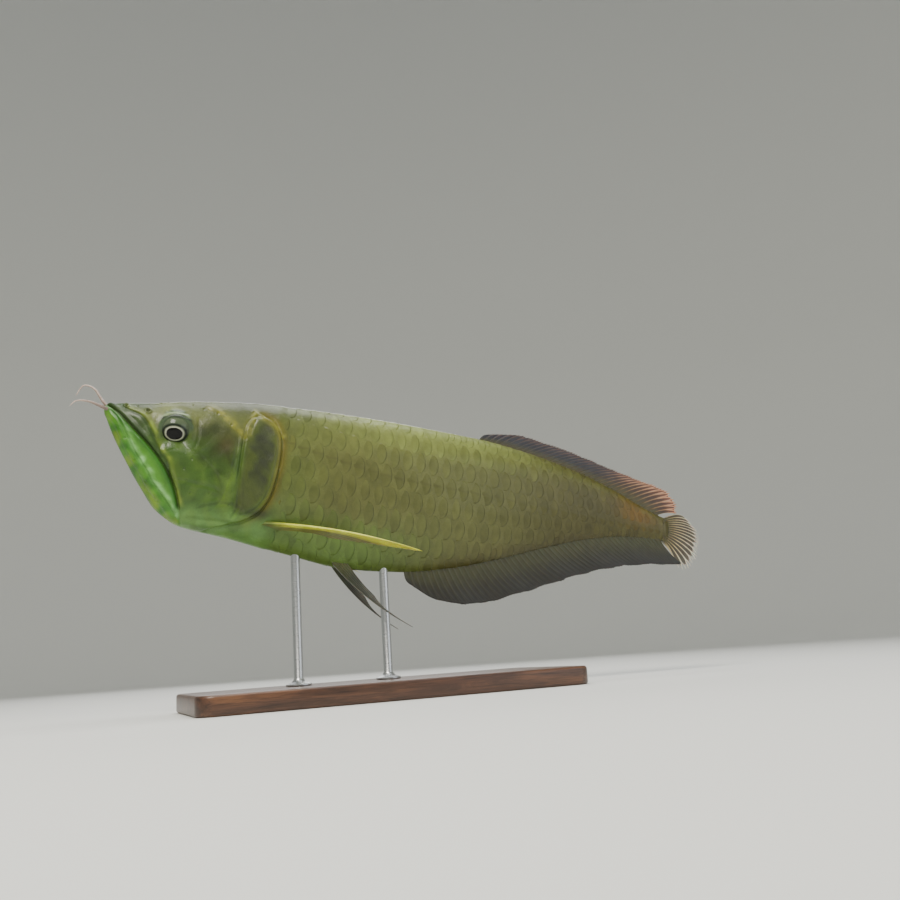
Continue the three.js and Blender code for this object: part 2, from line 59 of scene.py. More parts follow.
class Place:
    """Where the fish hangs over its stand. The fish is drawn in millimetres from its snout."""

    pitch = math.radians(8.0)
    snout_height = 262.0
    base_centre = 232.0

    @classmethod
    def to_stand(cls, points: Grid) -> Grid:
        """Pitches and lifts points of the fish onto its stand.

        Args:
            points: Points as rows of x, y and z, in millimetres from the snout.

        Returns:
            The same points in metres from the middle of the base's underside.
        """
        cosine, sine = math.cos(cls.pitch), math.sin(cls.pitch)
        placed = np.empty_like(points, dtype=float)
        placed[..., 0] = (points[..., 0] - cls.base_centre) * cosine + points[..., 2] * sine
        placed[..., 1] = points[..., 1]
        placed[..., 2] = cls.snout_height + points[..., 2] * cosine - points[..., 0] * sine
        return placed * MM


class Curve:
    """A smooth curve through a table of values, which never overshoots them."""

    def __init__(self, table: Pairs, unit: float = 1.0) -> None:
        """Takes the table.

        Args:
            table: Pairs of a place and its value, in rising order of place.
            unit: What one stands for in the table.
        """
        self.x, self.y = np.array(table, float).T * unit
        slopes = np.diff(self.y) / np.diff(self.x)
        before = np.concatenate([slopes[:1], slopes])
        after = np.concatenate([slopes, slopes[-1:]])
        total = np.where(before + after == 0, 1, before + after)
        self.tangents = np.where(before * after <= 0, 0, 2 * before * after / total)

    def __call__(self, x: Grid | float) -> Grid:
        """Returns the curve's values at x."""
        x = np.asarray(x, float)
        i = np.clip(np.searchsorted(self.x, x, side="right") - 1, 0, len(self.x) - 2)
        width = self.x[i + 1] - self.x[i]
        t = np.clip((x - self.x[i]) / width, 0, 1)
        blend = t * t * (3 - 2 * t)
        bend = t * (1 - t) * width
        value = self.y[i] + (self.y[i + 1] - self.y[i]) * blend
        return value + bend * ((1 - t) * self.tangents[i] - t * self.tangents[i + 1])


def smooth_step(low: float, high: float, value: Grid) -> Grid:
    """Returns 0 below low and 1 above high, with a smooth rise between them."""
    t = np.clip((value - low) / (high - low), 0, 1)
    return t * t * (3 - 2 * t)


def hump(distance: Grid, width: float) -> Grid:
    """Returns 1 at no distance, falling off smoothly over a width on both sides."""
    return np.exp(-((distance / width) ** 2))


def folded(distance: Grid, folds: list[Triple]) -> Grid:
    """Returns the height of folds along a line, each given by its height, offset and width."""
    return sum(height * hump(distance - offset, width) for height, offset, width in folds)


def smoothed(points: list[tuple], count: int = 90, closed: bool = False, steps: int = 12) -> Grid:
    """Draws a smooth line through a few points.

    Args:
        points: The points, flat or in space.
        count: How many points the smooth line has.
        closed: Whether the line joins its own start.
        steps: How finely it is drawn between two of the points, before it is spread evenly.

    Returns:
        The points of the smooth line, evenly spread.
    """
    known = np.array(points, float)
    if closed:
        known = np.vstack([known[-2:], known, known[:2]])
    else:
        known = np.vstack([2 * known[0] - known[1], known, 2 * known[-1] - known[-2]])
    t = np.linspace(0, 1, steps, endpoint=False)[:, None]
    pieces = []
    for i in range(1, len(known) - 2):
        p0, p1, p2, p3 = known[i - 1 : i + 3]
        cubic = -p0 + 3 * p1 - 3 * p2 + p3
        square = 2 * p0 - 5 * p1 + 4 * p2 - p3
        pieces.append(0.5 * (2 * p1 + (p2 - p0) * t + square * t**2 + cubic * t**3))
    line = np.vstack([*pieces, known[-2:-1]])
    gone = np.concatenate([[0], np.cumsum(np.linalg.norm(np.diff(line, axis=0), axis=1))])
    even = np.linspace(0, gone[-1], count)
    return np.column_stack([np.interp(even, gone, values) for values in line.T])


class Crease:
    """A line drawn on the side of the fish, to measure distances from."""

    def __init__(self, points: Pairs, count: int = 30) -> None:
        """Takes the line's points, as x and z, and how finely to draw it."""
        self.line = smoothed(points, count)

    def near(self, x: Grid, z: Grid) -> tuple[Grid, Grid]:
        """Measures how far places are from the line.

        Args:
            x: The places' x.
            z: The places' z.

        Returns:
            The distances, below zero on the line's right hand, and the shares of the line's
            length at the nearest points, which pass 0 and 1 beyond its ends.
        """
        best = np.full(x.shape, np.inf)
        signed = np.zeros(x.shape)
        share = np.zeros(x.shape)
        last = len(self.line) - 2
        for i in range(last + 1):
            a, b = self.line[i], self.line[i + 1]
            run = b - a
            length = np.hypot(*run)
            dx, dz = x - a[0], z - a[1]
            along = (dx * run[0] + dz * run[1]) / length**2
            held = np.clip(along, 0, 1)
            distance = np.hypot(dx - held * run[0], dz - held * run[1])
            closer = distance < best
            best = np.where(closer, distance, best)
            side = np.sign(run[0] * dz - run[1] * dx)
            signed = np.where(closer, np.where(side == 0, 1, side) * distance, signed)
            free = along if i in (0, last) else held
            share = np.where(closer, (i + free) / (last + 1), share)
        return signed, share

    def beside(self, x: Grid, z: Grid, ease: float = 0.05) -> tuple[Grid, Grid]:
        """Returns signed distances from the line, and 1 beside it and 0 past its ends."""
        distance, share = self.near(x, z)
        return distance, smooth_step(-ease, ease, share) * smooth_step(1 + ease, 1 - ease, share)


class Patch:
    """A closed outline drawn on the side of the fish."""

    def __init__(self, points: Pairs, count: int) -> None:
        """Takes the outline's points, as x and z, and how finely to draw it."""
        self.line = smoothed(points, count, closed=True)

    def inside(self, x: Grid, z: Grid) -> Grid:
        """Returns how deep places lie inside the outline, below zero outside it."""
        best = np.full(x.shape, np.inf)
        odd = np.zeros(x.shape, bool)
        for a, b in zip(self.line, np.roll(self.line, -1, axis=0)):
            run = b - a
            length = max(np.hypot(*run), TINY)
            dx, dz = x - a[0], z - a[1]
            held = np.clip((dx * run[0] + dz * run[1]) / length**2, 0, 1)
            best = np.minimum(best, np.hypot(dx - held * run[0], dz - held * run[1]))
            crosses = (a[1] > z) != (b[1] > z)
            rise = run[1] if run[1] != 0 else TINY
            odd ^= crosses & (x < a[0] + run[0] * (z - a[1]) / rise)
        return np.where(odd, best, -best)


class BodyForm:
    """The fish's body as sections along x, in millimetres from the snout."""

    length = 560.0
    halvings = 26
    fine_steps = 721
    back = Curve([
        (-0.005, -0.004), (0.02, 0.001), (0.06, 0.007), (0.13, 0.0215), (0.22, 0.0345),
        (0.32, 0.0425), (0.45, 0.046), (0.6, 0.0435), (0.7, 0.034), (0.8, 0.016),
        (0.88, -0.007), (0.95, -0.033), (1, -0.049),
    ], length)
    belly = Curve([
        (-0.005, -0.02), (0.0125, -0.052), (0.032, -0.082), (0.0625, -0.125),
        (0.09, -0.157), (0.127, -0.176), (0.2, -0.1855), (0.29, -0.2005), (0.39, -0.2125),
        (0.4875, -0.207), (0.57, -0.192), (0.66, -0.166), (0.75, -0.135), (0.84, -0.109),
        (0.92, -0.096), (1, -0.093),
    ], length)
    half_width = Curve([
        (-0.005, 0.007), (0.01, 0.016), (0.03, 0.026), (0.06, 0.034), (0.1, 0.039),
        (0.17, 0.0435), (0.25, 0.0455), (0.37, 0.044), (0.5, 0.039), (0.65, 0.03),
        (0.8, 0.0195), (0.92, 0.011), (1, 0.0065),
    ], length)
    widest = Curve([(0, 0.45), (60, 0.4), (150, 0.42), (400, 0.45), (560, 0.5)])
    upper_squareness = Curve([(0, 2.2), (60, 2.9), (130, 2.6), (240, 2.2), (560, 2)])
    lower_squareness = Curve([(0, 2), (60, 2), (140, 1.8), (260, 1.65), (560, 1.9)])
    lateral_line = Curve([(120, -12), (160, -20), (261, -34), (400, -36), (560, -40)])

    def section(self, x: Grid, angle: Grid) -> Grid:
        """Finds points of the skin on the right side.

        Args:
            x: Places along the body.
            angle: Angles round it, from 0 on the back to pi on the belly.

        Returns:
            The points, as x, y and z.
        """
        top, bottom = self.back(x), self.belly(x)
        middle = top + (bottom - top) * self.widest(x)
        upper = angle <= math.pi / 2
        squareness = np.where(upper, self.upper_squareness(x), self.lower_squareness(x))
        power = 2 / squareness
        reach = np.where(upper, top - middle, middle - bottom)
        out = np.maximum(np.sin(angle), 0) ** power
        lift = np.sign(np.cos(angle)) * np.abs(np.cos(angle)) ** power
        width = np.maximum(self.half_width(x), 0.5)
        return np.stack([x + 0 * out, width * out, middle + reach * lift], axis=-1)

    def side_at(self, x: Grid | float, z: Grid | float) -> Grid:
        """Returns half the body's width at heights z."""
        x, z = np.broadcast_arrays(np.asarray(x, float), np.asarray(z, float))
        low = np.zeros(x.shape)
        high = np.full(x.shape, math.pi)
        for _ in range(self.halvings):
            angle = (low + high) / 2
            above = self.section(x, angle)[..., 2] > z
            low = np.where(above, angle, low)
            high = np.where(above, high, angle)
        return self.section(x, (low + high) / 2)[..., 1]

    def even_rings(self, stations: Grid, shares: Grid) -> Grid:
        """Cuts the right side of the body into an even grid.

        Args:
            stations: The grid's places along the body.
            shares: Its shares of the way round, from the back to the belly.

        Returns:
            The grid's points, station by station.
        """
        fine = np.linspace(0, math.pi, self.fine_steps)
        rings = self.section(stations[:, None], fine[None, :])
        steps = np.linalg.norm(np.diff(rings, axis=1), axis=2)
        even = np.empty((len(stations), len(shares), 3))
        for i, ring in enumerate(rings):
            gone = np.concatenate([[0], np.cumsum(steps[i])])
            for k in range(3):
                even[i, :, k] = np.interp(shares * gone[-1], gone, ring[:, k])
        return even


def grid_normals(points: Grid) -> Grid:
    """Returns the outward normals of a grid over the body's right side."""
    along = np.gradient(points, axis=0)
    around = np.gradient(points, axis=1)
    normals = np.cross(along, around)
    normals /= np.maximum(np.linalg.norm(normals, axis=-1, keepdims=True), TINY)
    if normals[:, normals.shape[1] // 2 :, 1].mean() < 0:
        normals = -normals
    normals[:, 0] = (0, 0, 1)
    normals[:, -1] = (0, 0, -1)
    return normals


@dataclass
class EyeSocket:
    """The eye, turned down, and the fatty lid round it. Directions are for the right side."""

    x: float = 55.5
    z: float = -18.0
    radius: float = 14.5
    bulge: float = 4.8
    gaze: tuple[float, float, float] = (-0.1, 0.86, -0.5)
    lid: float = 1.2
    opening_lift: float = -15.0
    opening_wide: float = 51.0
    opening_high: float = 44.0
    # The height, offset and width of the folds over the lid and of the rim of its opening.
    folds = [(0.55, 43, 3.2), (-0.6, 35, 2.4), (0.4, 59, 4), (-0.5, 51, 2.6)]
    rim = [(0.5, 5, 4.5), (-0.35, 11, 3)]
    blend = 1.1
    recess = 2.2

    def centre(self, form: BodyForm) -> Grid:
        """Returns the middle of the right eyeball."""
        side = float(form.side_at(self.x, self.z))
        return np.array([self.x, side - (self.radius - self.bulge), self.z])

    def gaze_direction(self) -> Grid:
        """Returns the direction that the right eye looks in."""
        gaze = np.array(self.gaze)
        return gaze / np.linalg.norm(gaze)

    def shape(self, points: Grid, form: BodyForm) -> tuple[Grid, Grid]:
        """Draws the skin of the right side over the eyeball and cuts the lids' opening.

        Args:
            points: The points of the skin.
            form: The body.

        Returns:
            The moved points, and how far each lies inside the lid, from 0 to 1.
        """
        centre = self.centre(form)
        away = points - centre
        distance = np.linalg.norm(away, axis=-1)
        direction = away / np.maximum(distance, 1e-6)[..., None]
        sideways = direction[..., 1]
        lift = np.degrees(np.arcsin(np.clip(direction[..., 2], -1, 1)))
        turn = np.degrees(np.arctan2(direction[..., 0], np.maximum(sideways, 1e-6)))
        flat = turn * np.cos(np.radians(lift))
        tall = np.where(lift > self.opening_lift, self.opening_high, self.opening_high + 3)
        ratio = np.hypot((flat + 3) / self.opening_wide, (lift - self.opening_lift) / tall)
        facing = smooth_step(0.02, 0.25, sideways)
        edge = (ratio - 1) * self.opening_high
        folds = folded(lift, self.folds) * smooth_step(0, 6, edge)
        folds *= smooth_step(70, 40, np.abs(flat))
        rim = folded(edge, self.rim)
        shell = self.radius + self.lid + folds + rim
        gap = shell - distance
        grown = self.blend * np.log1p(np.exp(np.clip(gap / self.blend, -30, 30)))
        over = distance + np.where(gap > -6 * self.blend, grown, 0) * facing
        sunk = self.radius - self.recess
        cut = smooth_step(2.0, -5.0, edge) * facing
        placed = over + (sunk - over) * cut
        ring = hump(distance - shell - 2.4, 1.6) * facing * smooth_step(0.5, 0.2, sideways)
        placed -= 0.5 * ring
        return centre + direction * placed[..., None], smooth_step(-2.5, 1.0, gap) * facing


def to_linear(colour: str) -> tuple[float, float, float, float]:
    """Turns an sRGB hex colour, such as #8B8750, to linear red, green, blue and alpha."""
    parts = [int(colour[i : i + 2], 16) / 255 for i in (1, 3, 5)]
    linear = [c / 12.92 if c <= 0.04045 else ((c + 0.055) / 1.055) ** 2.4 for c in parts]
    return (*linear, 1.0)


class Tint(Enum):
    """The colours of the fish's skin, as it looks in good light, with some painted light, shade and
    highlights among them.
    """

    # The back's olive, painted lighter as if lit from above.
    BACK = "#788243"
    NAPE = "#394014"
    FLANK = "#595C30"
    BELLY = "#556E2D"
    TAIL = "#403A1A"
    TAIL_GLOW = "#65480A"
    CHEEK = "#345319"
    CHEEK_BROWN = "#453A22"
    CHEEK_PLATE = "#253011"
    SNOUT = "#3A4726"
    JAW = "#487F20"
    JAW_GLOW = "#849B20"
    # The lower lip's pale green, partly painted highlights along its ridge.
    LIP = "#87BE74"
    # Dark blotches on the lower jaw, and painted shade along its lower edge.
    JAW_DEEP = "#275A19"
    # The upper jaw's band: partly its own darker green, partly painted shade under the cheek's rim.
    LIP_BAND = "#213712"
    BAND_LIGHT = "#476225"
    CHEEK_DEEP = "#2C4819"
    CHEEK_LIGHT = "#5C7627"
    RIM = "#74882A"
    THROAT = "#5B823F"
    LID = "#3E5238"
    # Painted shade in the lid's folds and on its lower part, and painted highlights on its folds.
    LID_FOLD = "#151A13"
    LID_LIGHT = "#88976E"
    GILL = "#404B1E"
    GILL_PATCH = "#313725"
    GILL_RIM = "#5A500F"
    CREST = "#7B7C2C"
    # A painted shadow above the pectoral fin's base.
    SHOULDER_SPOT = "#2A3316"

    @property
    def linear(self) -> Grid:
        """The colour as linear red, green and blue."""
        return np.array(to_linear(self.value)[:3])


class HeadForm:
    """The lines, plates and pores of the head's side, as x and z in millimetres."""

    end = 146.0
    mouth = Crease([
        (-14, 4), (0, -4.5), (9, -12), (23, -25), (37, -38), (47, -49), (55, -60), (62, -72),
        (67, -86),
    ], 60)
    cheek_rim = Crease([
        (12, -3), (15, -6), (28, -12), (38, -26), (46, -40), (53, -48), (56, -58), (61, -70),
        (67, -84),
    ], 60)
    lower_lip = Crease([
        (2, -9), (10, -18), (23, -40), (36, -57), (43, -67), (52, -77), (64, -90),
    ], 60)
    jaw_root = Crease([(67, -86), (70, -95), (75, -114)], 12)
    cheek_plate = Patch([
        (73, -36), (73, -14), (84, -5), (97, -12), (106, -22), (105, -42), (99, -60),
        (96, -66), (92, -52), (84, -44),
    ], 80)
    cheek_seams = [Crease(points) for points in (
        [(47, -41), (58, -37), (71, -37), (84, -46), (96, -58), (101, -70)],
        [(72, -8), (74, -24), (71, -37)],
        [(58, -62), (74, -64), (92, -66), (101, -70)],
        [(107, -20), (106, -42), (103, -60), (99, -76), (88, -90)],
    )]
    gill_front = Crease([(112, -14), (111, -40), (112, -62), (114, -78), (111, -88)])
    gill_cover = Patch([
        (112, -18), (114, -6), (121, 1.5), (131, 0), (138, -8), (141, -22), (140, -42),
        (138, -58), (134, -70), (127, -79), (117, -84), (111, -78), (111, -58), (112, -38),
    ], 90)
    gill_flap = Crease([
        (124, 5), (136, -1), (143, -14), (144.5, -32), (143, -50), (140, -66), (133, -80),
        (121, -89), (104, -95), (86, -101), (70, -104),
    ], 60)
    throat_folds = [Crease(points, 20) for points in (
        [(82, -84), (101, -78), (116, -80), (123, -86)],
        [(76, -92), (95, -92), (114, -92)],
        [(72, -98), (92, -99), (108, -97)],
    )]
    crests = [Crease(points) for points in (
        [(78, 6), (90, 1), (100, -7), (112, -17), (115, -8), (119, 4)],
        [(117, 7), (127, 3), (138, -4), (146, -14)],
    )]
    pores = [
        (22, -3), (40, 3), (46, 4.5), (66, 5), (76, 2), (88, 0), (100, -9), (118, 6),
        (71, -44), (66, -53), (69, -62), (74, -72), (81, -81), (89, -70), (107, -52),
        (108, -66), (107, -78), (16, -32), (26, -49), (38, -66), (50, -81), (62, -95),
    ]
    nostrils = [(13.5, -3.5, 1.7), (31.0, -6.5, 2.2)]
    # Lines, how softly they end, and the height, offset and width of the folds along them.
    folds = [
        ([mouth], 0.02, [(-2.3, 0, 0.85), (0.8, 2.6, 1.7), (1.1, -3, 2.1)]),
        ([lower_lip], 0.05, [(1.1, 2.2, 1.7), (-1.3, 0, 1.1), (0.9, -3, 2.2), (-0.7, -6.2, 1.4)]),
        ([jaw_root], 0.05, [(-0.8, 0, 0.9)]),
        (cheek_seams, 0.15, [(-0.42, 0, 1.2)]),
        (throat_folds, 0.15, [(-0.5, 0, 1.3), (0.35, 3, 2)]),
        (crests, 0.05, [(0.45, 0, 1.9), (-0.45, -2.6, 1.2)]),
    ]

    def relief(self, x: Grid, z: Grid) -> Grid:
        """Returns how far the skin of the head's side stands out, in millimetres."""
        height = np.zeros(x.shape)
        for lines, ease, folds in self.folds:
            for line in lines:
                distance, beside = line.beside(x, z, ease)
                height += folded(distance, folds) * beside
        distance, beside = self.cheek_rim.beside(x, z)
        uneven = 0.7 + 0.3 * np.sin(0.31 * x + 0.17 * z)
        height += 0.6 * uneven * hump(distance - 1.4, 1.7) * beside
        height += folded(distance, [(-0.9, -0.9, 0.9), (0.3, -4.5, 1.8)]) * beside
        height += 0.35 * smooth_step(-2, 3, self.cheek_plate.inside(x, z))
        distance, beside = self.gill_front.beside(x, z)
        height -= (0.9 * hump(distance, 1.0) - 0.5 * hump(np.abs(distance) - 2.6, 1.6)) * beside
        distance, beside = self.gill_flap.beside(x, z, 0.03)
        swollen = smooth_step(0.6, -0.8, distance) * hump(np.minimum(distance, 0), 9)
        height += (1.3 * swollen - 1.4 * hump(distance - 0.9, 0.8)) * beside
        inside = self.gill_cover.inside(x, z)
        height += 0.7 * smooth_step(-0.8, 1.2, inside) - 0.4 * hump(inside + 0.9, 0.8)
        ripple = np.sin(0.23 * x + 1.9 * np.sin(0.09 * z)) * np.sin(0.19 * z + 1.7 * np.sin(0.11 * x))
        height += 0.22 * ripple * smooth_step(8, 20, x)
        for px, pz in self.pores:
            height += folded(np.hypot(x - px, z - pz), [(-0.9, 0, 0.8), (0.2, 1.5, 0.6)])
        for px, pz, tube in self.nostrils:
            rim_and_hole = [(1.3, tube, 0.6), (-1.6, 0, 0.6 * tube)]
            height += folded(np.hypot(x - px, z - pz), rim_and_hole)
        return height


def lay(colour: Grid, *layers: tuple[Tint, Grid]) -> Grid:
    """Lays named colours over others in turn, as thickly as each one's cover says."""
    for tint, cover in layers:
        colour = colour + (tint.linear - colour) * np.clip(cover, 0, 1)[..., None]
    return colour


def blotches(x: Grid, z: Grid, size: float) -> Grid:
    """Returns soft irregular blotches, from 0 to 1, about size millimetres across."""
    a, b = FULL_TURN * x / size, FULL_TURN * z / size
    wave = np.sin(a + 1.7 * np.sin(0.6 * b + 1)) + np.sin(1.3 * b + 1.9 * np.sin(0.5 * a + 2))
    return smooth_step(-1.0, 1.8, wave + np.sin(0.8 * (a + b) + 1.3 * np.sin(0.9 * b - 0.4 * a)))


def wander(x: Grid, z: Grid, far: float) -> tuple[Grid, Grid]:
    """Returns places moved about by up to far millimetres, to make edges uneven."""
    aside = np.sin(0.21 * z + 1.6 * np.sin(0.13 * x)) + 0.5 * np.sin(0.55 * z + 0.4 * x)
    up = np.sin(0.19 * x + 1.4 * np.sin(0.17 * z) + 1) + 0.5 * np.sin(0.5 * x - 0.45 * z)
    return x + far * aside / 1.5, z + far * up / 1.5


@dataclass
class Painter:
    """Lays the fish's named colours over its form, for the skin and the scales alike."""

    form: BodyForm
    head: HeadForm
    shoulder: float = 160.0

    def body(self, x: Grid, z: Grid) -> Grid:
        """Returns the colours of the body at places on its side."""
        back, belly = self.form.back(x), self.form.belly(x)
        down = np.clip((back - z) / (back - belly), 0, 1)
        upper = smooth_step(0.34, 0.04, down)
        along_back = smooth_step(0.1, 0.0, down) * smooth_step(370, 440, x)
        along_belly = smooth_step(0.84, 0.98, down) * smooth_step(270, 330, x)
        return lay(
            np.broadcast_to(Tint.FLANK.linear, (*x.shape, 3)),
            # The upper third: the back's own olive, painted lighter as light from above would make
            # it.
            (Tint.BACK, upper),
            (Tint.NAPE, hump(x - 110, 85) * upper),
            (Tint.BELLY, smooth_step(0.6, 0.92, down) * smooth_step(330, 200, x)),
            (Tint.TAIL, 0.75 * smooth_step(300, 470, x)),
            (Tint.TAIL, 0.6 * (along_back + along_belly)),
            (Tint.TAIL_GLOW, 0.75 * hump(x - 520, 24) * hump(down - 0.3, 0.3)),
            (Tint.BELLY, 0.35 * hump(x - 150, 30) * hump(down - 0.6, 0.35)),
        )

    def cheek(self, x: Grid, z: Grid, colour: Grid) -> Grid:
        """Lays the colours of the cheek and the throat over the body's."""
        front = smooth_step(150, 128, x + 0.06 * (z + 40))
        cheek = front * smooth_step(-20, -34, z)
        pale = hump(x - 103, 5) * smooth_step(-45, -60, z) * smooth_step(-92, -78, z)
        plate = smooth_step(-9, 9, self.head.cheek_plate.inside(*wander(x, z, 4.5)))
        return lay(
            colour,
            (Tint.CHEEK, 0.9 * front * smooth_step(-8, -34, z)),
            (Tint.THROAT, front * smooth_step(-76, -92, z)),
            (Tint.SNOUT, smooth_step(46, 26, x) * smooth_step(-14, 0, z)),
            (Tint.CHEEK_DEEP, 0.3 * cheek * blotches(x, z, 30)),
            (Tint.CHEEK_LIGHT, 0.25 * cheek * blotches(z, x, 19)),
            (Tint.CHEEK_LIGHT, 0.6 * pale),
            (Tint.CHEEK_PLATE, 0.85 * plate * (0.72 + 0.28 * blotches(z, x, 22))),
            (Tint.CHEEK_BROWN, 0.6 * hump(x - 99, 9) * hump(z + 27, 9)),
        )

    def gills(self, x: Grid, z: Grid, colour: Grid) -> Grid:
        """Lays the colours of the gill cover, its rim and the crests over it, and a painted shadow
        above the pectoral fin's base.
        """
        cover = self.head.gill_cover.inside(x, z)
        wide_x, wide_z = wander(x, z, 4.5)
        patch = smooth_step(1.35, 0.45, np.hypot((wide_x - 130) / 10, (wide_z + 30) / 33))
        patch = patch * smooth_step(0, 4, cover) * (0.75 + 0.25 * blotches(x, z, 14))
        distance, share = self.head.gill_flap.near(x, z)
        _, beside = self.head.gill_flap.beside(x, z, 0.03)
        rim = hump(distance - 1.5, 4.5) * beside * smooth_step(0.8, 0.5, share)
        colour = lay(
            colour, (Tint.GILL, smooth_step(-3, 5, cover)), (Tint.GILL_PATCH, patch),
            (Tint.GILL_RIM, 0.8 * rim))
        broken = 0.45 + 0.55 * blotches(x, z, 9)
        for line in self.head.crests:
            distance, beside = line.beside(x, z)
            colour = lay(colour, (Tint.CREST, 0.9 * hump(distance, 3.4) * beside * broken))
        # A painted shadow above the pectoral fin's base.
        return lay(colour, (Tint.SHOULDER_SPOT, 0.8 * hump(x - 131, 13) * hump(z + 82, 4.5)))

    def jaw(self, x: Grid, z: Grid, colour: Grid) -> Grid:
        """Lays the colours of the lips and the lower jaw, with painted shade in the upper jaw's band
        and along the lower jaw's edge, and painted highlights on the lower lip.
        """
        rim_off, by_rim = self.head.cheek_rim.beside(x, z)
        mouth_off, by_mouth = self.head.mouth.beside(x, z, 0.02)
        lip_off, _ = self.head.lower_lip.near(x, z)
        root_off, _ = self.head.jaw_root.near(x, z)
        band = smooth_step(0.5, -0.5, rim_off) * smooth_step(0.2, 1.0, mouth_off) * by_mouth
        streak = band * hump(rim_off + 4.5, 2.2) * (0.4 + 0.6 * blotches(x, z, 11))
        rim = hump(rim_off - 1.6, 1.9) * by_rim * (0.4 + 0.6 * blotches(z, x, 13))
        before_root = np.where(z > -86, 1, smooth_step(3, -3, root_off))
        jaw = smooth_step(0.6, -0.6, mouth_off) * before_root * smooth_step(84, 70, x)
        # Painted shade along the lower jaw's outer edge, mottled.
        keel_shade = smooth_step(-5, -12, lip_off) * (0.5 + 0.5 * blotches(z, x + 3, 30))
        lip = hump(lip_off - 2.4, 2.4) * (0.25 + 0.75 * blotches(x, z + 5, 15))
        return lay(
            colour,
            # The upper jaw's band: partly its own darker green, partly painted shade under the
            # cheek's rim.
            (Tint.LIP_BAND, 0.9 * band),
            (Tint.BAND_LIGHT, 0.5 * streak),
            (Tint.RIM, 0.85 * rim),
            (Tint.JAW, jaw),
            (Tint.JAW_DEEP, 0.75 * jaw * blotches(x, z, 21) * smooth_step(6, -4, lip_off)),
            (Tint.JAW_GLOW, 0.65 * jaw * smooth_step(-1, -8, lip_off) * blotches(z + 9, x, 24)),
            # Painted shade along the lower jaw's outer edge.
            (Tint.JAW_DEEP, 0.8 * jaw * keel_shade),
            # The lip's ridge: its own pale green, partly painted highlights in streaks.
            (Tint.LIP, 0.85 * jaw * lip),
            # Darker beside the mouth line.
            (Tint.JAW_DEEP, 0.8 * jaw * hump(mouth_off + 2.4, 2.2) * by_mouth),
            (Tint.LIP_BAND, 0.85 * hump(mouth_off, 1.1) * by_mouth),
        )

    def paint(self, x: Grid, z: Grid) -> Grid:
        """Returns the colours at places on the fish's side."""
        painted = self.body(x, z)
        near_head = x < self.shoulder
        for part in (self.cheek, self.gills, self.jaw):
            painted[near_head] = part(x[near_head], z[near_head], painted[near_head])
        return painted


def join_sides(right: Grid, mirror: Triple | float = 1.0) -> Grid:
    """Closes a grid over the right side with its mirror image, into whole rings."""
    return np.concatenate([right, right[:, -2:0:-1] * mirror], axis=1)


def make_piece(name: str, points: Grid, faces: list, closed: bool = True) -> bpy.types.Object:
    """Makes a smooth object whose place is in its mesh.

    Args:
        name: The piece's name.
        points: Its points in metres, one a row.
        faces: The points' numbers, face by face.
        closed: Whether it is one closed shell, whose faces are then turned outwards.

    Returns:
        The object.
    """
    mesh = bpy.data.meshes.new(name)
    mesh.from_pydata(points.tolist(), [], faces)
    mesh.validate()
    if closed:
        shell = bmesh.new()
        shell.from_mesh(mesh)
        bmesh.ops.recalc_face_normals(shell, faces=shell.faces)
        shell.to_mesh(mesh)
        shell.free()
    mesh.update()
    mesh.shade_smooth()
    piece = bpy.data.objects.new(name, mesh)
    bpy.context.scene.collection.objects.link(piece)
    log.info("%s: %d faces", name, len(faces))
    return piece


def circle(around: int) -> Grid:
    """Returns angles spread evenly over a full turn."""
    return FULL_TURN * np.arange(around) / around


def tube_faces(rings: int, around: int) -> list:
    """Returns the faces of a tube of rings, its first ring first."""
    ids = np.arange(rings * around).reshape(rings, around)
    after = np.roll(ids, -1, axis=1)
    return np.stack([ids[:-1], ids[1:], after[1:], after[:-1]], axis=-1).reshape(-1, 4).tolist()


def capped_tube(rings: int, around: int) -> list:
    """Returns the faces of a tube with one flat face over each end."""
    first = list(range(around))
    last = [(rings - 1) * around + k for k in reversed(first)]
    return [*tube_faces(rings, around), first, last]


def pointed_tube(rings: int, around: int) -> list:
    """Returns the faces of a tube whose ends close on two points numbered after its rings."""
    faces = tube_faces(rings, around)
    tip, last = rings * around, (rings - 1) * around
    for k in range(around):
        after = (k + 1) % around
        faces.append((tip, k, after))
        faces.append((tip + 1, last + after, last + k))
    return faces


def colour_points(piece: bpy.types.Object, colours: Grid) -> None:
    """Stores a colour for each point of a piece, for its material to read."""
    layer = piece.data.color_attributes.new("Tint", "FLOAT_COLOR", "POINT")
    rgba = np.ones((len(colours), 4), np.float32)
    rgba[:, :3] = colours
    layer.data.foreach_set("color", rgba.ravel())


def value_points(piece: bpy.types.Object, **layers: Grid) -> None:
    """Stores named numbers for each point of a piece, for its material to read."""
    for name, values in layers.items():
        layer = piece.data.attributes.new(name, "FLOAT", "POINT")
        layer.data.foreach_set("value", np.asarray(values, np.float32).ravel())


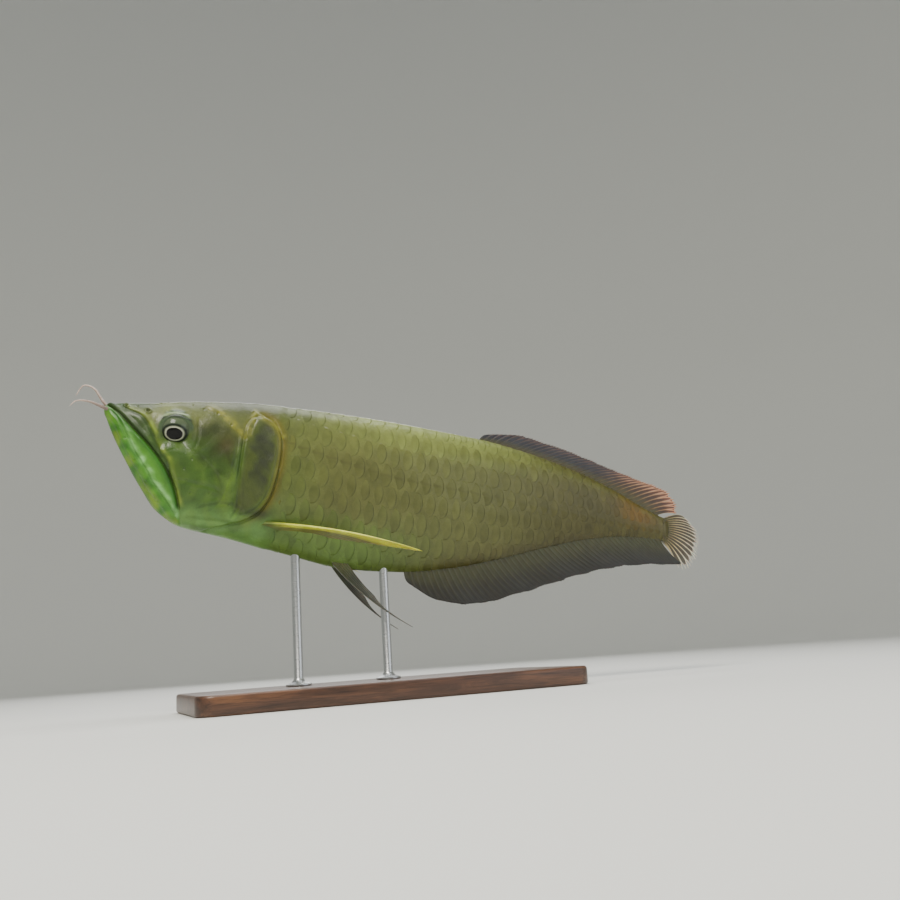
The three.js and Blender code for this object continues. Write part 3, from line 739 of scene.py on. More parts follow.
@dataclass
class Skin:
    """One skin over the whole fish, with its lips, lids, plates and gill covers."""

    form: BodyForm
    head: HeadForm
    eye: EyeSocket
    painter: Painter
    around: int = 140
    face_step: float = 0.74
    flank_step: float = 3.4
    scale_depth: float = 0.9

    def right_side(self) -> tuple[Grid, Grid]:
        """Shapes the right side.

        Returns:
            Its grid of points, and how far each lies inside the lid.
        """
        face = np.arange(-2.8, self.head.end + 4, self.face_step)
        flank = np.arange(self.head.end + 5, self.form.length - 1, self.flank_step)
        stations = np.concatenate([face, flank, [self.form.length]])
        shares = np.linspace(0, 1, self.around + 1)
        shares = shares + 0.018 * np.sin(FULL_TURN * shares)
        base = self.form.even_rings(stations, shares)
        x, z = base[..., 0], base[..., 2]
        height = np.zeros(x.shape)
        head = x < self.head.end + 8
        height[head] = self.head.relief(x[head], z[head])
        inward = base[..., 1] / np.maximum(base[..., 1].max(axis=1, keepdims=True), TINY)
        height *= np.maximum(smooth_step(0.04, 0.3, inward), smooth_step(20, 4, x))
        height -= self.scale_depth * smooth_step(140, 152, x) * smooth_step(562, 548, x)
        shaped = base + grid_normals(base) * height[..., None]
        shaped[:, [0, -1], 1] = 0
        shaped[..., 1] = np.maximum(shaped[..., 1], 0)
        return self.eye.shape(shaped, self.form)

    def build(self) -> bpy.types.Object:
        """Builds the skin and colours it.

        Returns:
            The skin's object.
        """
        right, lid = self.right_side()
        rings = join_sides(right, MIRROR)
        ends = rings[[0, -1]].mean(axis=1) + [[-1.0, 0, 0], [0.8, 0, 0]]
        points = np.vstack([rings.reshape(-1, 3), ends])
        skin = make_piece("skin", Place.to_stand(points), pointed_tube(*rings.shape[:2]))
        colours = self.painter.paint(rings[..., 0], rings[..., 2])
        flat = self.lid_colours(colours, rings, join_sides(lid)).reshape(-1, 3)
        colour_points(skin, np.vstack([flat, flat[:1], flat[-1:]]))
        return skin

    def lid_colours(self, colours: Grid, rings: Grid, lid: Grid) -> Grid:
        """Colours the lids: a dull green, with arcs of painted shade and painted highlight over the
        eye, and painted shade on the lower lid.
        """
        _, eye_side, eye_height = self.eye.centre(self.form)
        out = np.maximum(np.abs(rings[..., 1]) - eye_side, TINY)
        lift = np.degrees(np.arctan2(rings[..., 2] - eye_height, out))
        upper = smooth_step(10, 25, lift) * lid
        return lay(
            colours,
            (Tint.LID, 0.9 * lid),
            # Arcs of painted shade and painted highlight over the eye.
            (Tint.LID_FOLD, 0.9 * hump(lift - 35, 6) * upper),
            (Tint.LID_LIGHT, 0.9 * hump(lift - 50, 6) * upper),
            (Tint.LID_FOLD, 0.5 * hump(lift - 63, 4) * upper),
            (Tint.LID_LIGHT, 0.55 * hump(lift - 74, 5) * upper),
            # Painted shade on the lower part of the lid.
            (Tint.LID_FOLD, 0.55 * smooth_step(-20, -50, lift) * lid),
        )


class Hide:
    """The body's side as an even map, to set scales on."""

    first = 100.0
    step = 2.0
    cells = 240

    def __init__(self, form: BodyForm, inset: float) -> None:
        """Maps the side of a body.

        Args:
            form: The body.
            inset: How deep under the body's own surface the map lies.
        """
        self.stations = np.arange(self.first, form.length + 0.1, self.step)
        points = form.even_rings(self.stations, np.linspace(0, 1, self.cells + 1))
        self.normals = grid_normals(points)
        self.points = points - self.normals * inset
        steps = np.linalg.norm(np.diff(points, axis=1), axis=2)
        arcs = np.concatenate([np.zeros((len(points), 1)), np.cumsum(steps, axis=1)], axis=1)
        self.ends = arcs[:, -1]
        heights = form.lateral_line(self.stations)
        self.line = [
            np.interp(-height, -row[:, 2], arc)
            for height, row, arc in zip(heights, self.points, arcs)
        ]

    def total(self, x: Grid) -> Grid:
        """Returns the way round one side at x, from the back to the belly."""
        return np.interp(x, self.stations, self.ends)

    def line_arc(self, x: Grid) -> Grid:
        """Returns the way from the back to the lateral line at x."""
        return np.interp(x, self.stations, self.line)

    def at(self, x: Grid, arc: Grid) -> tuple[Grid, Grid]:
        """Finds places on the side.

        Args:
            x: Their places along the body.
            arc: Their ways round it from the back. Below zero is over the back, on the other side.

        Returns:
            The points there and their outward normals.
        """
        total = self.total(x)
        crossed = (arc < 0) | (arc > total)
        folded_arc = np.where(arc < 0, -arc, np.where(arc > total, 2 * total - arc, arc))
        i = np.clip((x - self.first) / self.step, 0, len(self.stations) - 1.001)
        j = np.clip(folded_arc / total * self.cells, 0, self.cells - 0.001)
        i0, j0 = i.astype(int), j.astype(int)
        fi, fj = (i - i0)[..., None], (j - j0)[..., None]
        found = []
        for values in (self.points, self.normals):
            near = values[i0, j0] * (1 - fj) + values[i0, j0 + 1] * fj
            far = values[i0 + 1, j0] * (1 - fj) + values[i0 + 1, j0 + 1] * fj
            mixed = near * (1 - fi) + far * fi
            mixed[..., 1] *= np.where(crossed, -1.0, 1.0)
            found.append(mixed)
        points, normals = found
        return points, normals / np.linalg.norm(normals, axis=-1, keepdims=True)


@dataclass
class Scales:
    """The coat of large, round-edged scales, laid like tiles from the gills to the tail."""

    form: BodyForm
    painter: Painter
    first: float = 134.0
    across: int = 8
    overlap: float = 0.95
    lift: float = 0.52
    sunk: float = 0.9
    patch: float = 0.0015
    seed: int = 7
    row_height = Curve([(130, 17), (260, 19.5), (340, 18), (450, 13), (520, 9.5), (560, 8)])
    column_pitch = Curve([(130, 13), (300, 13), (450, 11.5), (560, 8)])
    gill_edge = Curve([(-120, 112), (-95, 126), (-70, 140), (-30, 146), (-5, 139), (30, 120)])

    def roots(self, hide: Hide) -> list[tuple[float, float, int]]:
        """Returns each scale's place along the body, its way round it, and its row."""
        places = []
        columns = [self.first]
        while columns[-1] < self.form.length - 6:
            columns.append(columns[-1] + self.column_pitch(columns[-1]) / 2)
        for k, x in enumerate(columns):
            tall, total, line = self.row_height(x), hide.total(x), hide.line_arc(x)
            for row in range(-6 + k % 2, 8, 2):
                arc = line + row * tall
                inside = -0.45 * tall < arc < total + 0.3 * tall
                if inside and self.past_gill(x, arc, hide) > 0:
                    places.append((x, arc, row))
        return places

    def past_gill(self, x: float, arc: float, hide: Hide) -> float:
        """Returns how far behind the gill cover's edge a scale's root lies."""
        point, _ = hide.at(np.array([x]), np.array([arc]))
        return x - self.gill_edge(point[0, 2]) + 9

    def outline(self) -> tuple[Grid, Grid, Grid, Grid]:
        """Draws one scale as a small grid, with its rim turned down to the skin.

        Returns:
            For each point, its share of the way from the root to the free edge, its place across
            from -1 to 1, how far it reaches back, and its height over the skin.
        """
        p, q = np.meshgrid(
            [0, 0.35, 0.65, 0.86, 0.96, 1.0], np.linspace(-1, 1, self.across + 1), indexing="ij")
        reach = np.sqrt(1 - (0.97 * q) ** 2) ** 0.8
        back = -0.75 + (0.75 + 0.75 * reach) * p
        height = -0.55 + (0.55 + self.lift) * p**0.9 - 0.42 * q**2
        return p, q, back, height - 0.16 * smooth_step(0.9, 1.0, p)

    @staticmethod
    def shell_of_one(ids: Grid) -> tuple[Grid, list]:
        """Closes one scale's grid with a wall and a floor.

        Args:
            ids: The numbers of its grid's points.

        Returns:
            The points round its edge, which the floor repeats, and its faces.
        """
        edge = np.concatenate([ids[0, :-1], ids[:-1, -1], ids[-1, :0:-1], ids[:0:-1, 0]])
        rim = ids.size + np.arange(len(edge))
        top = np.stack([ids[:-1, :-1], ids[1:, :-1], ids[1:, 1:], ids[:-1, 1:]], axis=-1)
        wall = np.column_stack([edge, np.roll(edge, -1), np.roll(rim, -1), rim])
        return edge, [*top.reshape(-1, 4).tolist(), *wall.tolist(), rim[::-1].tolist()]

    def build(self, side: float, name: str) -> bpy.types.Object:
        """Builds one side's scales as one piece.

        Args:
            side: Below zero for the left, above for the right.
            name: The piece's name.

        Returns:
            The piece.
        """
        hide = Hide(self.form, self.overlap)
        p, q, back, height = self.outline()
        edge, one = self.shell_of_one(np.arange(p.size).reshape(p.shape))
        generator = np.random.default_rng(self.seed)
        roots = self.roots(hide)
        clouds, tints = [], []
        for x, arc, row in roots:
            tall = self.row_height(x) * 1.22 * generator.uniform(0.96, 1.04)
            long = self.column_pitch(x) * generator.uniform(0.97, 1.03)
            at_x = x + long * back
            skin, normals = hide.at(np.minimum(at_x, self.form.length), arc + 0.5 * tall * q)
            skin[..., 0] += np.maximum(at_x - self.form.length, 0)
            grown = smooth_step(-2, 16, self.past_gill(x, arc, hide))
            raised = height + generator.uniform(-0.05, 0.05) - 0.55 * (1 - grown) * p
            if row == 0:
                raised += 0.45 * hump(q, 0.13) * smooth_step(0.45, 0.6, p) * (1 - 0.5 * p)
            top = (skin + normals * raised[..., None]).reshape(-1, 3)
            floor = (skin - normals * self.sunk).reshape(-1, 3)[edge]
            clouds.append(np.vstack([top, floor]))
            root, _ = hide.at(np.array([x]), np.array([arc]))
            tint = self.painter.paint(np.array([x + 4]), root[:, 2])[0]
            tints.append(tint * generator.uniform(0.88, 1.1))
        size, count = len(clouds[0]), len(roots)
        faces = [[start + i for i in face] for start in range(0, count * size, size) for face in one]
        coat = make_piece(name, Place.to_stand(np.vstack(clouds) * (1, side, 1)), faces, False)
        if side < 0:
            coat.data.flip_normals()
        p, q, back = (np.append(grid, grid.ravel()[edge]) for grid in (p, q, back))
        tube = np.repeat([float(row == 0) for _, _, row in roots], size)
        colour_points(coat, np.repeat(tints, size, axis=0))
        value_points(coat, Reach=np.tile(p, count), Across=np.tile(q, count), Tube=tube)
        x, arc, _ = np.array(roots).T[..., None]
        u = 0.01 + 0.98 * (x - Hide.first) / (self.form.length - 80) + self.patch * back
        v = 0.5 + side * 0.0028 * (arc + 4) + self.patch * q
        self.unwrap(coat, np.column_stack([u.ravel(), v.ravel()]))
        log.info("%s: %d scales", name, count)
        return coat

    @staticmethod
    def unwrap(coat: bpy.types.Object, flat: Grid) -> None:
        """Lays each scale as a small patch at its root's place on the unrolled skin."""
        layer = coat.data.uv_layers.new(name="OFBake")
        loops = np.empty(len(coat.data.loops), np.int32)
        coat.data.loops.foreach_get("vertex_index", loops)
        layer.data.foreach_set("uv", flat[loops].astype(np.float32).ravel())


@dataclass
class Fin:
    """A fin: a thin membrane over bony rays that fork towards their tips."""

    name: str
    node: str
    slot: str
    rays: int
    root_thickness: float
    across: int = 8
    rows: int = 26
    edge: float = 0.4
    ridge: float = 0.5
    fork: float = 0.5
    scallop: float = 0.035
    ragged: float = 0.012
    seed: int = 3

    def ray(self, u: Grid, v: Grid) -> Grid:
        """Returns points of the fin's middle sheet, u across the rays and v along them."""
        raise NotImplementedError

    def build(self) -> bpy.types.Object:
        """Builds the fin, both faces and its edges, as one closed piece.

        Returns:
            The fin's object.
        """
        generator = np.random.default_rng(self.seed)
        columns = (self.rays - 1) * self.across + 1
        u, v = np.meshgrid(np.linspace(0, 1, columns), np.linspace(0, 1, self.rows), indexing="ij")
        phase = u * (self.rays - 1)
        nearest = np.round(phase)
        off = phase - nearest
        forked = smooth_step(self.fork, self.fork + 0.12, v)
        split = 0.17 * forked * (v - self.fork) / (1 - self.fork) * 1.6
        wide = 0.13 - 0.045 * v
        bone = np.maximum(hump(off - split, wide), hump(off + split, wide))
        tips = generator.uniform(-1, 1, self.rays)[nearest.astype(int)]
        short = self.scallop * (1 - bone) + self.ragged * (tips + 1)
        sheet = self.ray(u, v * (1 - short * smooth_step(0.75, 1.0, v)))
        normals = np.cross(np.gradient(sheet, axis=0), np.gradient(sheet, axis=1))
        normals /= np.maximum(np.linalg.norm(normals, axis=-1, keepdims=True), TINY)
        half = self.root_thickness / 2 * (1 - np.sqrt(v)) + self.edge / 2 * np.sqrt(v)
        half += self.ridge * bone * (1 - 0.8 * v)
        half *= 1 - 0.75 * smooth_step(0.97, 1.0, v)
        swell = normals * half[..., None]
        points = np.stack([sheet + swell, sheet - swell]).reshape(-1, 3)
        ids = np.arange(u.size).reshape(u.shape)
        face = np.stack([ids[:-1, :-1], ids[1:, :-1], ids[1:, 1:], ids[:-1, 1:]], axis=-1)
        face = face.reshape(-1, 4)
        loop = np.concatenate([ids[:-1, 0], ids[-1, :-1], ids[:0:-1, -1], ids[0, :0:-1]])
        after = np.roll(loop, -1)
        wall = np.column_stack([loop, loop + u.size, after + u.size, after])
        faces = np.vstack([face, face[:, [0, 3, 2, 1]] + u.size, wall]).tolist()
        fin = make_piece(self.name, Place.to_stand(points), faces)
        value_points(fin, Along=np.tile(v.ravel(), 2), Fan=np.tile(u.ravel(), 2),
                     Bone=np.tile(bone.ravel(), 2))
        return fin


def bowed(root: Grid, tip: Grid, sag: Grid, v: Grid) -> Grid:
    """Returns points along rays that bow between their roots and their tips."""
    return root + (tip - root) * v[..., None] + sag * (4 * v * (1 - v))[..., None]


@dataclass
class MedianFin(Fin):
    """The fin along the back or the belly, whose rays lean back."""

    edge_line: Curve | None = None
    start: float = 0.6
    stop: float = 0.97
    upwards: float = 1.0
    length: Pairs = field(default_factory=list)
    angle: Pairs = field(default_factory=list)
    sag: tuple[float, float] = (0.0, 0.0)
    wave: float = 2.5
    waves: float = 0.8
    wave_start: float = 0.1
    sunk: float = 3.0

    def ray(self, u: Grid, v: Grid) -> Grid:
        """Returns points of the fin's middle sheet."""
        x = BodyForm.length * (self.start + (self.stop - self.start) * u)
        lean = np.radians(Curve(self.angle)(u))
        reach = (Curve(self.length)(u) + self.sunk) * (1 + 0.012 * np.sin(61 * u))
        root = np.stack([x, 0 * x, self.edge_line(x) - self.upwards * self.sunk], axis=-1)
        turn = FULL_TURN * (self.wave_start + self.waves * u)
        aside = self.wave * np.sin(turn) + 0.5 * np.sin(37 * u)
        rise = self.upwards * reach * np.sin(lean)
        out = np.stack([reach * np.cos(lean), aside, rise], axis=-1)
        sag = np.array([self.sag[0], 0, self.upwards * self.sag[1]])
        return bowed(root, root + out, sag, v)


@dataclass
class TailFin(Fin):
    """The small tail fin, a fan that spreads from the end of the body."""

    form: BodyForm | None = None
    sunk: float = 6.0
    length = Curve([(0, 30), (0.12, 39), (0.5, 49), (0.8, 45), (0.92, 40), (1, 30)])
    angle = Curve([(0, 12), (0.12, 5), (0.5, -8), (0.8, -28), (0.92, -39), (1, -47)])

    def ray(self, u: Grid, v: Grid) -> Grid:
        """Returns points of the fin's middle sheet."""
        end = BodyForm.length
        top, bottom = self.form.back(end) - 1.5, self.form.belly(end) + 1.5
        heading = np.radians(self.angle(u))
        reach = self.length(u) + self.sunk
        root = np.stack([0 * u + end - self.sunk, 0 * u, top + (bottom - top) * u], axis=-1)
        aside = 7 + 0.8 * np.sin(15 * u)
        out = np.stack([reach * np.cos(heading), aside, reach * np.sin(heading)], axis=-1)
        sag = np.stack([0.4 + 0 * u, 0 * u - 2.2, 4.2 - 2.0 * u], axis=-1)
        return bowed(root, root + out, sag, v)


@dataclass
class PairedFin(Fin):
    """A pectoral or pelvic fin, rooted along the body's side. It is drawn for the left."""

    form: BodyForm | None = None
    side: float = -1.0
    first_root: tuple[float, float] = (0.0, 0.0)
    last_root: tuple[float, float] = (0.0, 0.0)
    first_tip: Triple = (0.0, 0.0, 0.0)
    last_tip: Triple = (0.0, 0.0, 0.0)
    sag: Triple = (0.0, 0.0, 0.0)
    sag_loss: float = 0.0
    spread: float = 1.0
    reach: Pairs | None = None
    sunk: float = 3.0

    def root_at(self, place: tuple[float, float]) -> Grid:
        """Returns a root's point, a little inside the side."""
        return np.array([place[0], self.sunk - self.form.side_at(*place), place[1]])

    def ray(self, u: Grid, v: Grid) -> Grid:
        """Returns points of the fin's middle sheet."""
        first, last = self.root_at(self.first_root), self.root_at(self.last_root)
        u3 = u[..., None]
        root = first + (last - first) * u3
        first_tip, last_tip, bow = (
            np.array(values) for values in (self.first_tip, self.last_tip, self.sag))
        if self.reach is None:
            tip = first_tip + (last_tip - first_tip) * u3**self.spread
            sag = bow * (1 - self.sag_loss * u3)
        else:
            reach = Curve(self.reach)(u)
            leader = bowed(first, first_tip, bow, reach)
            stop = bowed(first, first_tip, bow, np.array(self.reach[-1][1]))
            tip = leader + (last_tip - stop) * u3**1.5
            tip[..., 0] += 1.3 * smooth_step(0, 0.1, u)
            sag = bow * reach[..., None] ** 2
        points = bowed(root, tip, sag, v)
        points[..., 1] *= -self.side
        return points


@dataclass
class Eyeball:
    """A glass eye: a black pupil in a pale ring, in a dull green ball with a clear bulge."""

    form: BodyForm
    socket: EyeSocket
    rings: int = 80
    around: int = 96
    pupil_stretch: float = 0.32
    back_edge = 104.0

    def build(self, side: float, name: str) -> bpy.types.Object:
        """Builds one eyeball.

        Args:
            side: Below zero for the left, above for the right.
            name: The piece's name.

        Returns:
            The eyeball.
        """
        turn = Vector(self.socket.gaze_direction().tolist()).to_track_quat("Z", "Y").to_matrix()
        off = np.linspace(0, math.radians(self.back_edge), self.rings)
        reach = self.socket.radius * (1 + 0.032 * hump(off, 0.46))
        out, deep = reach * np.sin(off), reach * np.cos(off)
        turns = circle(self.around)
        ring = out[1:, None, None] * np.stack([np.cos(turns), np.sin(turns), 0 * turns], axis=-1)
        ring[..., 2] = deep[1:, None]
        tips = np.array([[0, 0, deep[0]], [0, 0, deep[-1]]])
        points = np.vstack([ring.reshape(-1, 3), tips]) @ np.array(turn).T
        points = (points + self.socket.centre(self.form)) * (1, side, 1)
        ball = make_piece(name, Place.to_stand(points), pointed_tube(self.rings - 1, self.around))
        stretch = 1 + self.pupil_stretch * np.sin(turns) ** 2
        degrees = np.degrees(off[1:])[:, None] * stretch
        value_points(
            ball, Off=np.append(degrees, [0, self.back_edge]),
            Turn=np.append(np.tile(turns / FULL_TURN, self.rings - 1), [0, 0]))
        return ball


@dataclass
class Barbel:
    """A soft barbel that tapers from the chin to its tip."""

    line: list[Triple]
    root: float = 1.9
    tip: float = 0.4
    steps: int = 70
    around: int = 20

    def build(self, name: str) -> bpy.types.Object:
        """Builds the barbel as a closed, slightly ringed tube."""
        spine = smoothed(self.line, self.steps, steps=20)
        ahead = np.gradient(spine, axis=0)
        ahead /= np.linalg.norm(ahead, axis=1, keepdims=True)
        side = np.cross(ahead, [0.2, 0, 1])
        side /= np.linalg.norm(side, axis=1, keepdims=True)
        over = np.cross(side, ahead)
        share = np.linspace(0, 1, self.steps)
        radius = self.root + (self.tip - self.root) * share**0.8
        radius *= (1 + 0.03 * np.sin(70 * share)) * np.sqrt(1 - share**14 * 0.98)
        turns = circle(self.around)[:, None]
        out = side[:, None] * np.cos(turns) + over[:, None] * np.sin(turns)
        ring = spine[:, None] + radius[:, None, None] * out
        faces = capped_tube(self.steps, self.around)
        barbel = make_piece(name, Place.to_stand(ring.reshape(-1, 3)), faces)
        value_points(barbel, Along=np.repeat(share, self.around))
        return barbel


def only(piece: bpy.types.Object) -> None:
    """Selects one piece alone and makes it active."""
    bpy.ops.object.select_all(action="DESELECT")
    piece.select_set(True)
    bpy.context.view_layer.objects.active = piece


@dataclass
class Stand:
    """The plain stand: a walnut board and two brushed steel rods."""

    form: BodyForm
    length: float = 340.0
    width: float = 150.0
    thickness: float = 16.0
    corner: float = 14.0
    chamfer: float = 2.5
    rod: float = 4.0
    foot: float = 11.0
    foot_rim: float = 1.5
    foot_height: float = 5.0
    sunk: float = 6.0
    around: int = 64
    rods: tuple[float, float] = (172.0, 254.0)

    def board(self) -> bpy.types.Object:
        """Models the board: a block with rounded corners and eased edges."""
        bpy.ops.mesh.primitive_cube_add(size=1, location=(0, 0, self.thickness / 2 * MM))
        board = bpy.context.object
        board.name = "walnut_board"
        board.dimensions = (self.length * MM, self.width * MM, self.thickness * MM)
        bpy.ops.object.transform_apply(location=True, rotation=True, scale=True)
        shell = bmesh.new()
        shell.from_mesh(board.data)
        upright = [
            edge for edge in shell.edges
            if abs(edge.verts[0].co.z - edge.verts[1].co.z) > self.thickness / 2 * MM
        ]
        bmesh.ops.bevel(
            shell, geom=upright, offset=self.corner * MM, segments=12, profile=0.5,
            affect="EDGES")
        shell.to_mesh(board.data)
        shell.free()
        only(board)
        bevel = board.modifiers.new("eased_edges", "BEVEL")
        bevel.width = self.chamfer * MM
        bevel.segments = 4
        bevel.limit_method = "ANGLE"
        bpy.ops.object.modifier_apply(modifier=bevel.name)
        bpy.ops.object.shade_smooth_by_angle(angle=math.radians(35))
        return board

    def upright(self, x: float, name: str) -> bpy.types.Object:
        """Models a rod with a flared foot by spinning its profile.

        Args:
            x: Where under the fish the rod meets the belly.
            name: The piece's name.

        Returns:
            The rod.
        """
        place, _, height = Place.to_stand(np.array([x, 0, self.form.belly(x)])) / MM
        foot = self.thickness + 0.3
        top = height + self.sunk
        profile = [
            (self.foot - 0.4, foot), (self.foot, foot + 0.4),
            (self.foot, foot + self.foot_rim), (self.foot - 0.5, foot + self.foot_rim + 0.4),
            (self.rod + 2.4, foot + 3.2), (self.rod + 0.8, foot + self.foot_height),
            (self.rod, foot + self.foot_height + 1.4), (self.rod, top),
        ]
        turns = circle(self.around)
        level = np.ones(self.around)
        rings = np.vstack([
            np.column_stack([place + out * np.cos(turns), out * np.sin(turns), z * level])
            for out, z in profile
        ])
        rod = make_piece(name, rings * MM, capped_tube(len(profile), self.around))
        only(rod)
        bpy.ops.object.shade_smooth_by_angle(angle=math.radians(40))
        return rod


def node(
    tree: bpy.types.NodeTree, kind: str, links: dict | None = None, **settings: object
) -> bpy.types.Node:
    """Adds a node to a material.

    Args:
        tree: The material's node tree.
        kind: The node's type.
        links: What goes into each input: another node's output, or a plain value.
        settings: The node's own settings.

    Returns:
        The node.
    """
    made = tree.nodes.new(kind)
    for key, value in settings.items():
        setattr(made, key, value)
    for socket, source in (links or {}).items():
        if isinstance(source, bpy.types.NodeSocket):
            tree.links.new(source, made.inputs[socket])
        else:
            made.inputs[socket].default_value = source
    return made


class Recipe:
    """A material's node tree, with one short call for each kind of step."""

    def __init__(self, name: str) -> None:
        """Starts a material with an empty tree."""
        self.material = bpy.data.materials.new(name)
        self.material.use_nodes = True
        self.tree = self.material.node_tree
        self.tree.nodes.clear()
        self.place = node(self.tree, "ShaderNodeTexCoord").outputs["Object"]

    def stored(self, name: str) -> Socket:
        """Returns a number that is stored on the piece's points."""
        return node(self.tree, "ShaderNodeAttribute", attribute_name=name).outputs["Fac"]

    def tint(self) -> Socket:
        """Returns the colour that is stored on the piece's points."""
        return node(self.tree, "ShaderNodeVertexColor", layer_name="Tint").outputs["Color"]

    def noise(self, size: float, detail: float, **more: object) -> Socket:
        """Returns soft noise whose features are about size millimetres apart."""
        place = more.pop("Vector", self.place)
        links = {"Vector": place, "Scale": 1.0 / (size * MM), "Detail": detail, **more}
        return node(self.tree, "ShaderNodeTexNoise", links).outputs["Fac"]

    def stretched(self, scale: Triple) -> Socket:
        """Returns the piece's own place, scaled along each axis."""
        links = {"Vector": self.place, "Scale": scale}
        return node(self.tree, "ShaderNodeMapping", links).outputs["Vector"]

    def spread(self, value: Socket, low: float, high: float, start: float, stop: float,
               curve: str = "LINEAR") -> Socket:
        """Spreads the values from low to high over those from start to stop."""
        links = {"Value": value, "From Min": low, "From Max": high, "To Min": start, "To Max": stop}
        return node(
            self.tree, "ShaderNodeMapRange", links, interpolation_type=curve).outputs["Result"]

    def maths(self, operation: str, *values: Socket | float) -> Socket:
        """Returns the result of some arithmetic."""
        links = dict(enumerate(values))
        return node(self.tree, "ShaderNodeMath", links, operation=operation).outputs["Value"]

    def mixed(self, factor: Socket, under: Socket | str, over: Socket | str) -> Socket:
        """Mixes two colours, each a socket or a hex colour."""
        a, b = (to_linear(c) if isinstance(c, str) else c for c in (under, over))
        links = {"Factor": factor, "A": a, "B": b}
        return node(self.tree, "ShaderNodeMix", links, data_type="RGBA").outputs["Result"]

    def mottled(self, colour: Socket, clouds: Socket, dark: float, light: float) -> Socket:
        """Darkens and lightens a colour in clouds."""
        return self.scaled(colour, self.spread(clouds, 0.3, 0.7, dark, light))

    def scaled(self, colour: Socket, level: Socket) -> Socket:
        """Makes a colour darker or lighter."""
        links = {0: colour, "Scale": level}
        return node(
            self.tree, "ShaderNodeVectorMath", links, operation="SCALE").outputs["Vector"]

    def ramp(self, value: Socket, first: str, last: str, stops: list[tuple[float, str]]) -> Socket:
        """Turns a value to colours: the first at 0, the last at 1 and the stops between."""
        made = node(self.tree, "ShaderNodeValToRGB", {"Fac": value})
        elements = made.color_ramp.elements
        elements[0].color = to_linear(first)
        elements[-1].color = to_linear(last)
        for position, colour in stops:
            elements.new(position).color = to_linear(colour)
        return made.outputs["Color"]

    def finish(self, links: dict, bump: Socket | None = None, depth: float = 0.1,
               distance: float = 0.0005) -> bpy.types.Material:
        """Joins a surface to the material's output.

        Args:
            links: What goes into the surface's inputs.
            bump: The height of its relief, if any.
            depth: How strongly the relief shows.
            distance: The relief's full height, in metres.

        Returns:
            The material.
        """
        if bump is not None:
            relief = node(self.tree, "ShaderNodeBump", {
                "Strength": depth, "Distance": distance, "Height": bump})
            links = {**links, "Normal": relief.outputs["Normal"]}
        surface = node(self.tree, "ShaderNodeBsdfPrincipled", links)
        node(self.tree, "ShaderNodeOutputMaterial", {"Surface": surface.outputs["BSDF"]})
        return self.material


@dataclass(frozen=True)
class WetSkin:
    """Wet, naked fish skin: smooth and glossy, mottled, with fine pits and wrinkles."""

    roughness: float = 0.36
    mottle: float = 16.0
    speckle: float = 2.2
    grain: float = 0.9
    wrinkle: float = 5.0

    def material(self) -> bpy.types.Material:
        """Makes the material."""
        skin = Recipe("wet_fish_skin")
        clouds = skin.noise(self.mottle, 6.0, Roughness=0.68)
        toned = skin.mottled(skin.tint(), clouds, 0.74, 1.24)
        dots = node(skin.tree, "ShaderNodeTexVoronoi", {
            "Vector": skin.place, "Scale": 1.0 / (self.speckle * MM), "Randomness": 1.0})
        dark = skin.spread(dots.outputs["Distance"], 0.05, 0.38, 0.2, 0.0)
        wrinkle = skin.noise(self.wrinkle, 2.0, Distortion=0.6)
        relief = skin.maths("ADD", skin.noise(self.grain, 3.0), wrinkle)
        gloss = skin.spread(wrinkle, 0.0, 1.0, self.roughness - 0.08, self.roughness + 0.12)
        return skin.finish({
            "Base Color": skin.mixed(dark, toned, "#3E4226"), "Roughness": gloss, "IOR": 1.36,
            "Coat Weight": 0.18, "Coat Roughness": 0.12, "Subsurface Weight": 0.03,
            "Subsurface Scale": 0.002, "Subsurface Radius": (1.0, 0.7, 0.35)},
            relief, 0.38, 0.0007)


@dataclass(frozen=True)
class FishScale:
    """Bony scales under a clear wet skin: a soft metallic sheen and fine growth lines."""

    roughness: float = 0.34
    rings: float = 22.0
    mottle: float = 14.0
    grain: float = 0.8

    def material(self) -> bpy.types.Material:
        """Makes the material."""
        scale = Recipe("wet_fish_scale")
        reach, across = scale.stored("Reach"), scale.stored("Across")
        curve = scale.maths("MULTIPLY", across, across)
        shade = node(scale.tree, "ShaderNodeValToRGB", {"Fac": reach})
        elements = shade.color_ramp.elements
        for position, level in ((0.4, 0.88), (0.7, 0.98), (0.88, 1.06), (0.96, 1.02)):
            elements.new(position).color = (level, level, level, 1)
        elements[0].color = (0.8, 0.8, 0.8, 1)
        elements[-1].color = (0.9, 0.9, 0.86, 1)
        toned = node(scale.tree, "ShaderNodeVectorMath", {
            0: scale.tint(), 1: shade.outputs["Color"]}, operation="MULTIPLY").outputs["Vector"]
        clouded = scale.mottled(toned, scale.noise(self.mottle, 5.0, Roughness=0.62), 0.78, 1.18)
        round_reach = scale.maths("MULTIPLY_ADD", curve, 0.12, reach)
        lines = scale.maths("SINE", scale.maths("MULTIPLY", round_reach, self.rings * FULL_TURN))
        relief = scale.maths("MULTIPLY_ADD", lines, 0.14, scale.noise(self.grain, 3.0))
        mark = scale.maths(
            "MULTIPLY", scale.spread(curve, 0.0, 0.02, 0.35, 0.0), scale.stored("Tube"))
        return scale.finish({
            "Base Color": scale.mixed(mark, clouded, "#4B4A2A"), "Roughness": self.roughness,
            "Metallic": 0.15, "IOR": 1.38, "Coat Weight": 0.14, "Coat Roughness": 0.18},
            relief, 0.35, 0.0004)


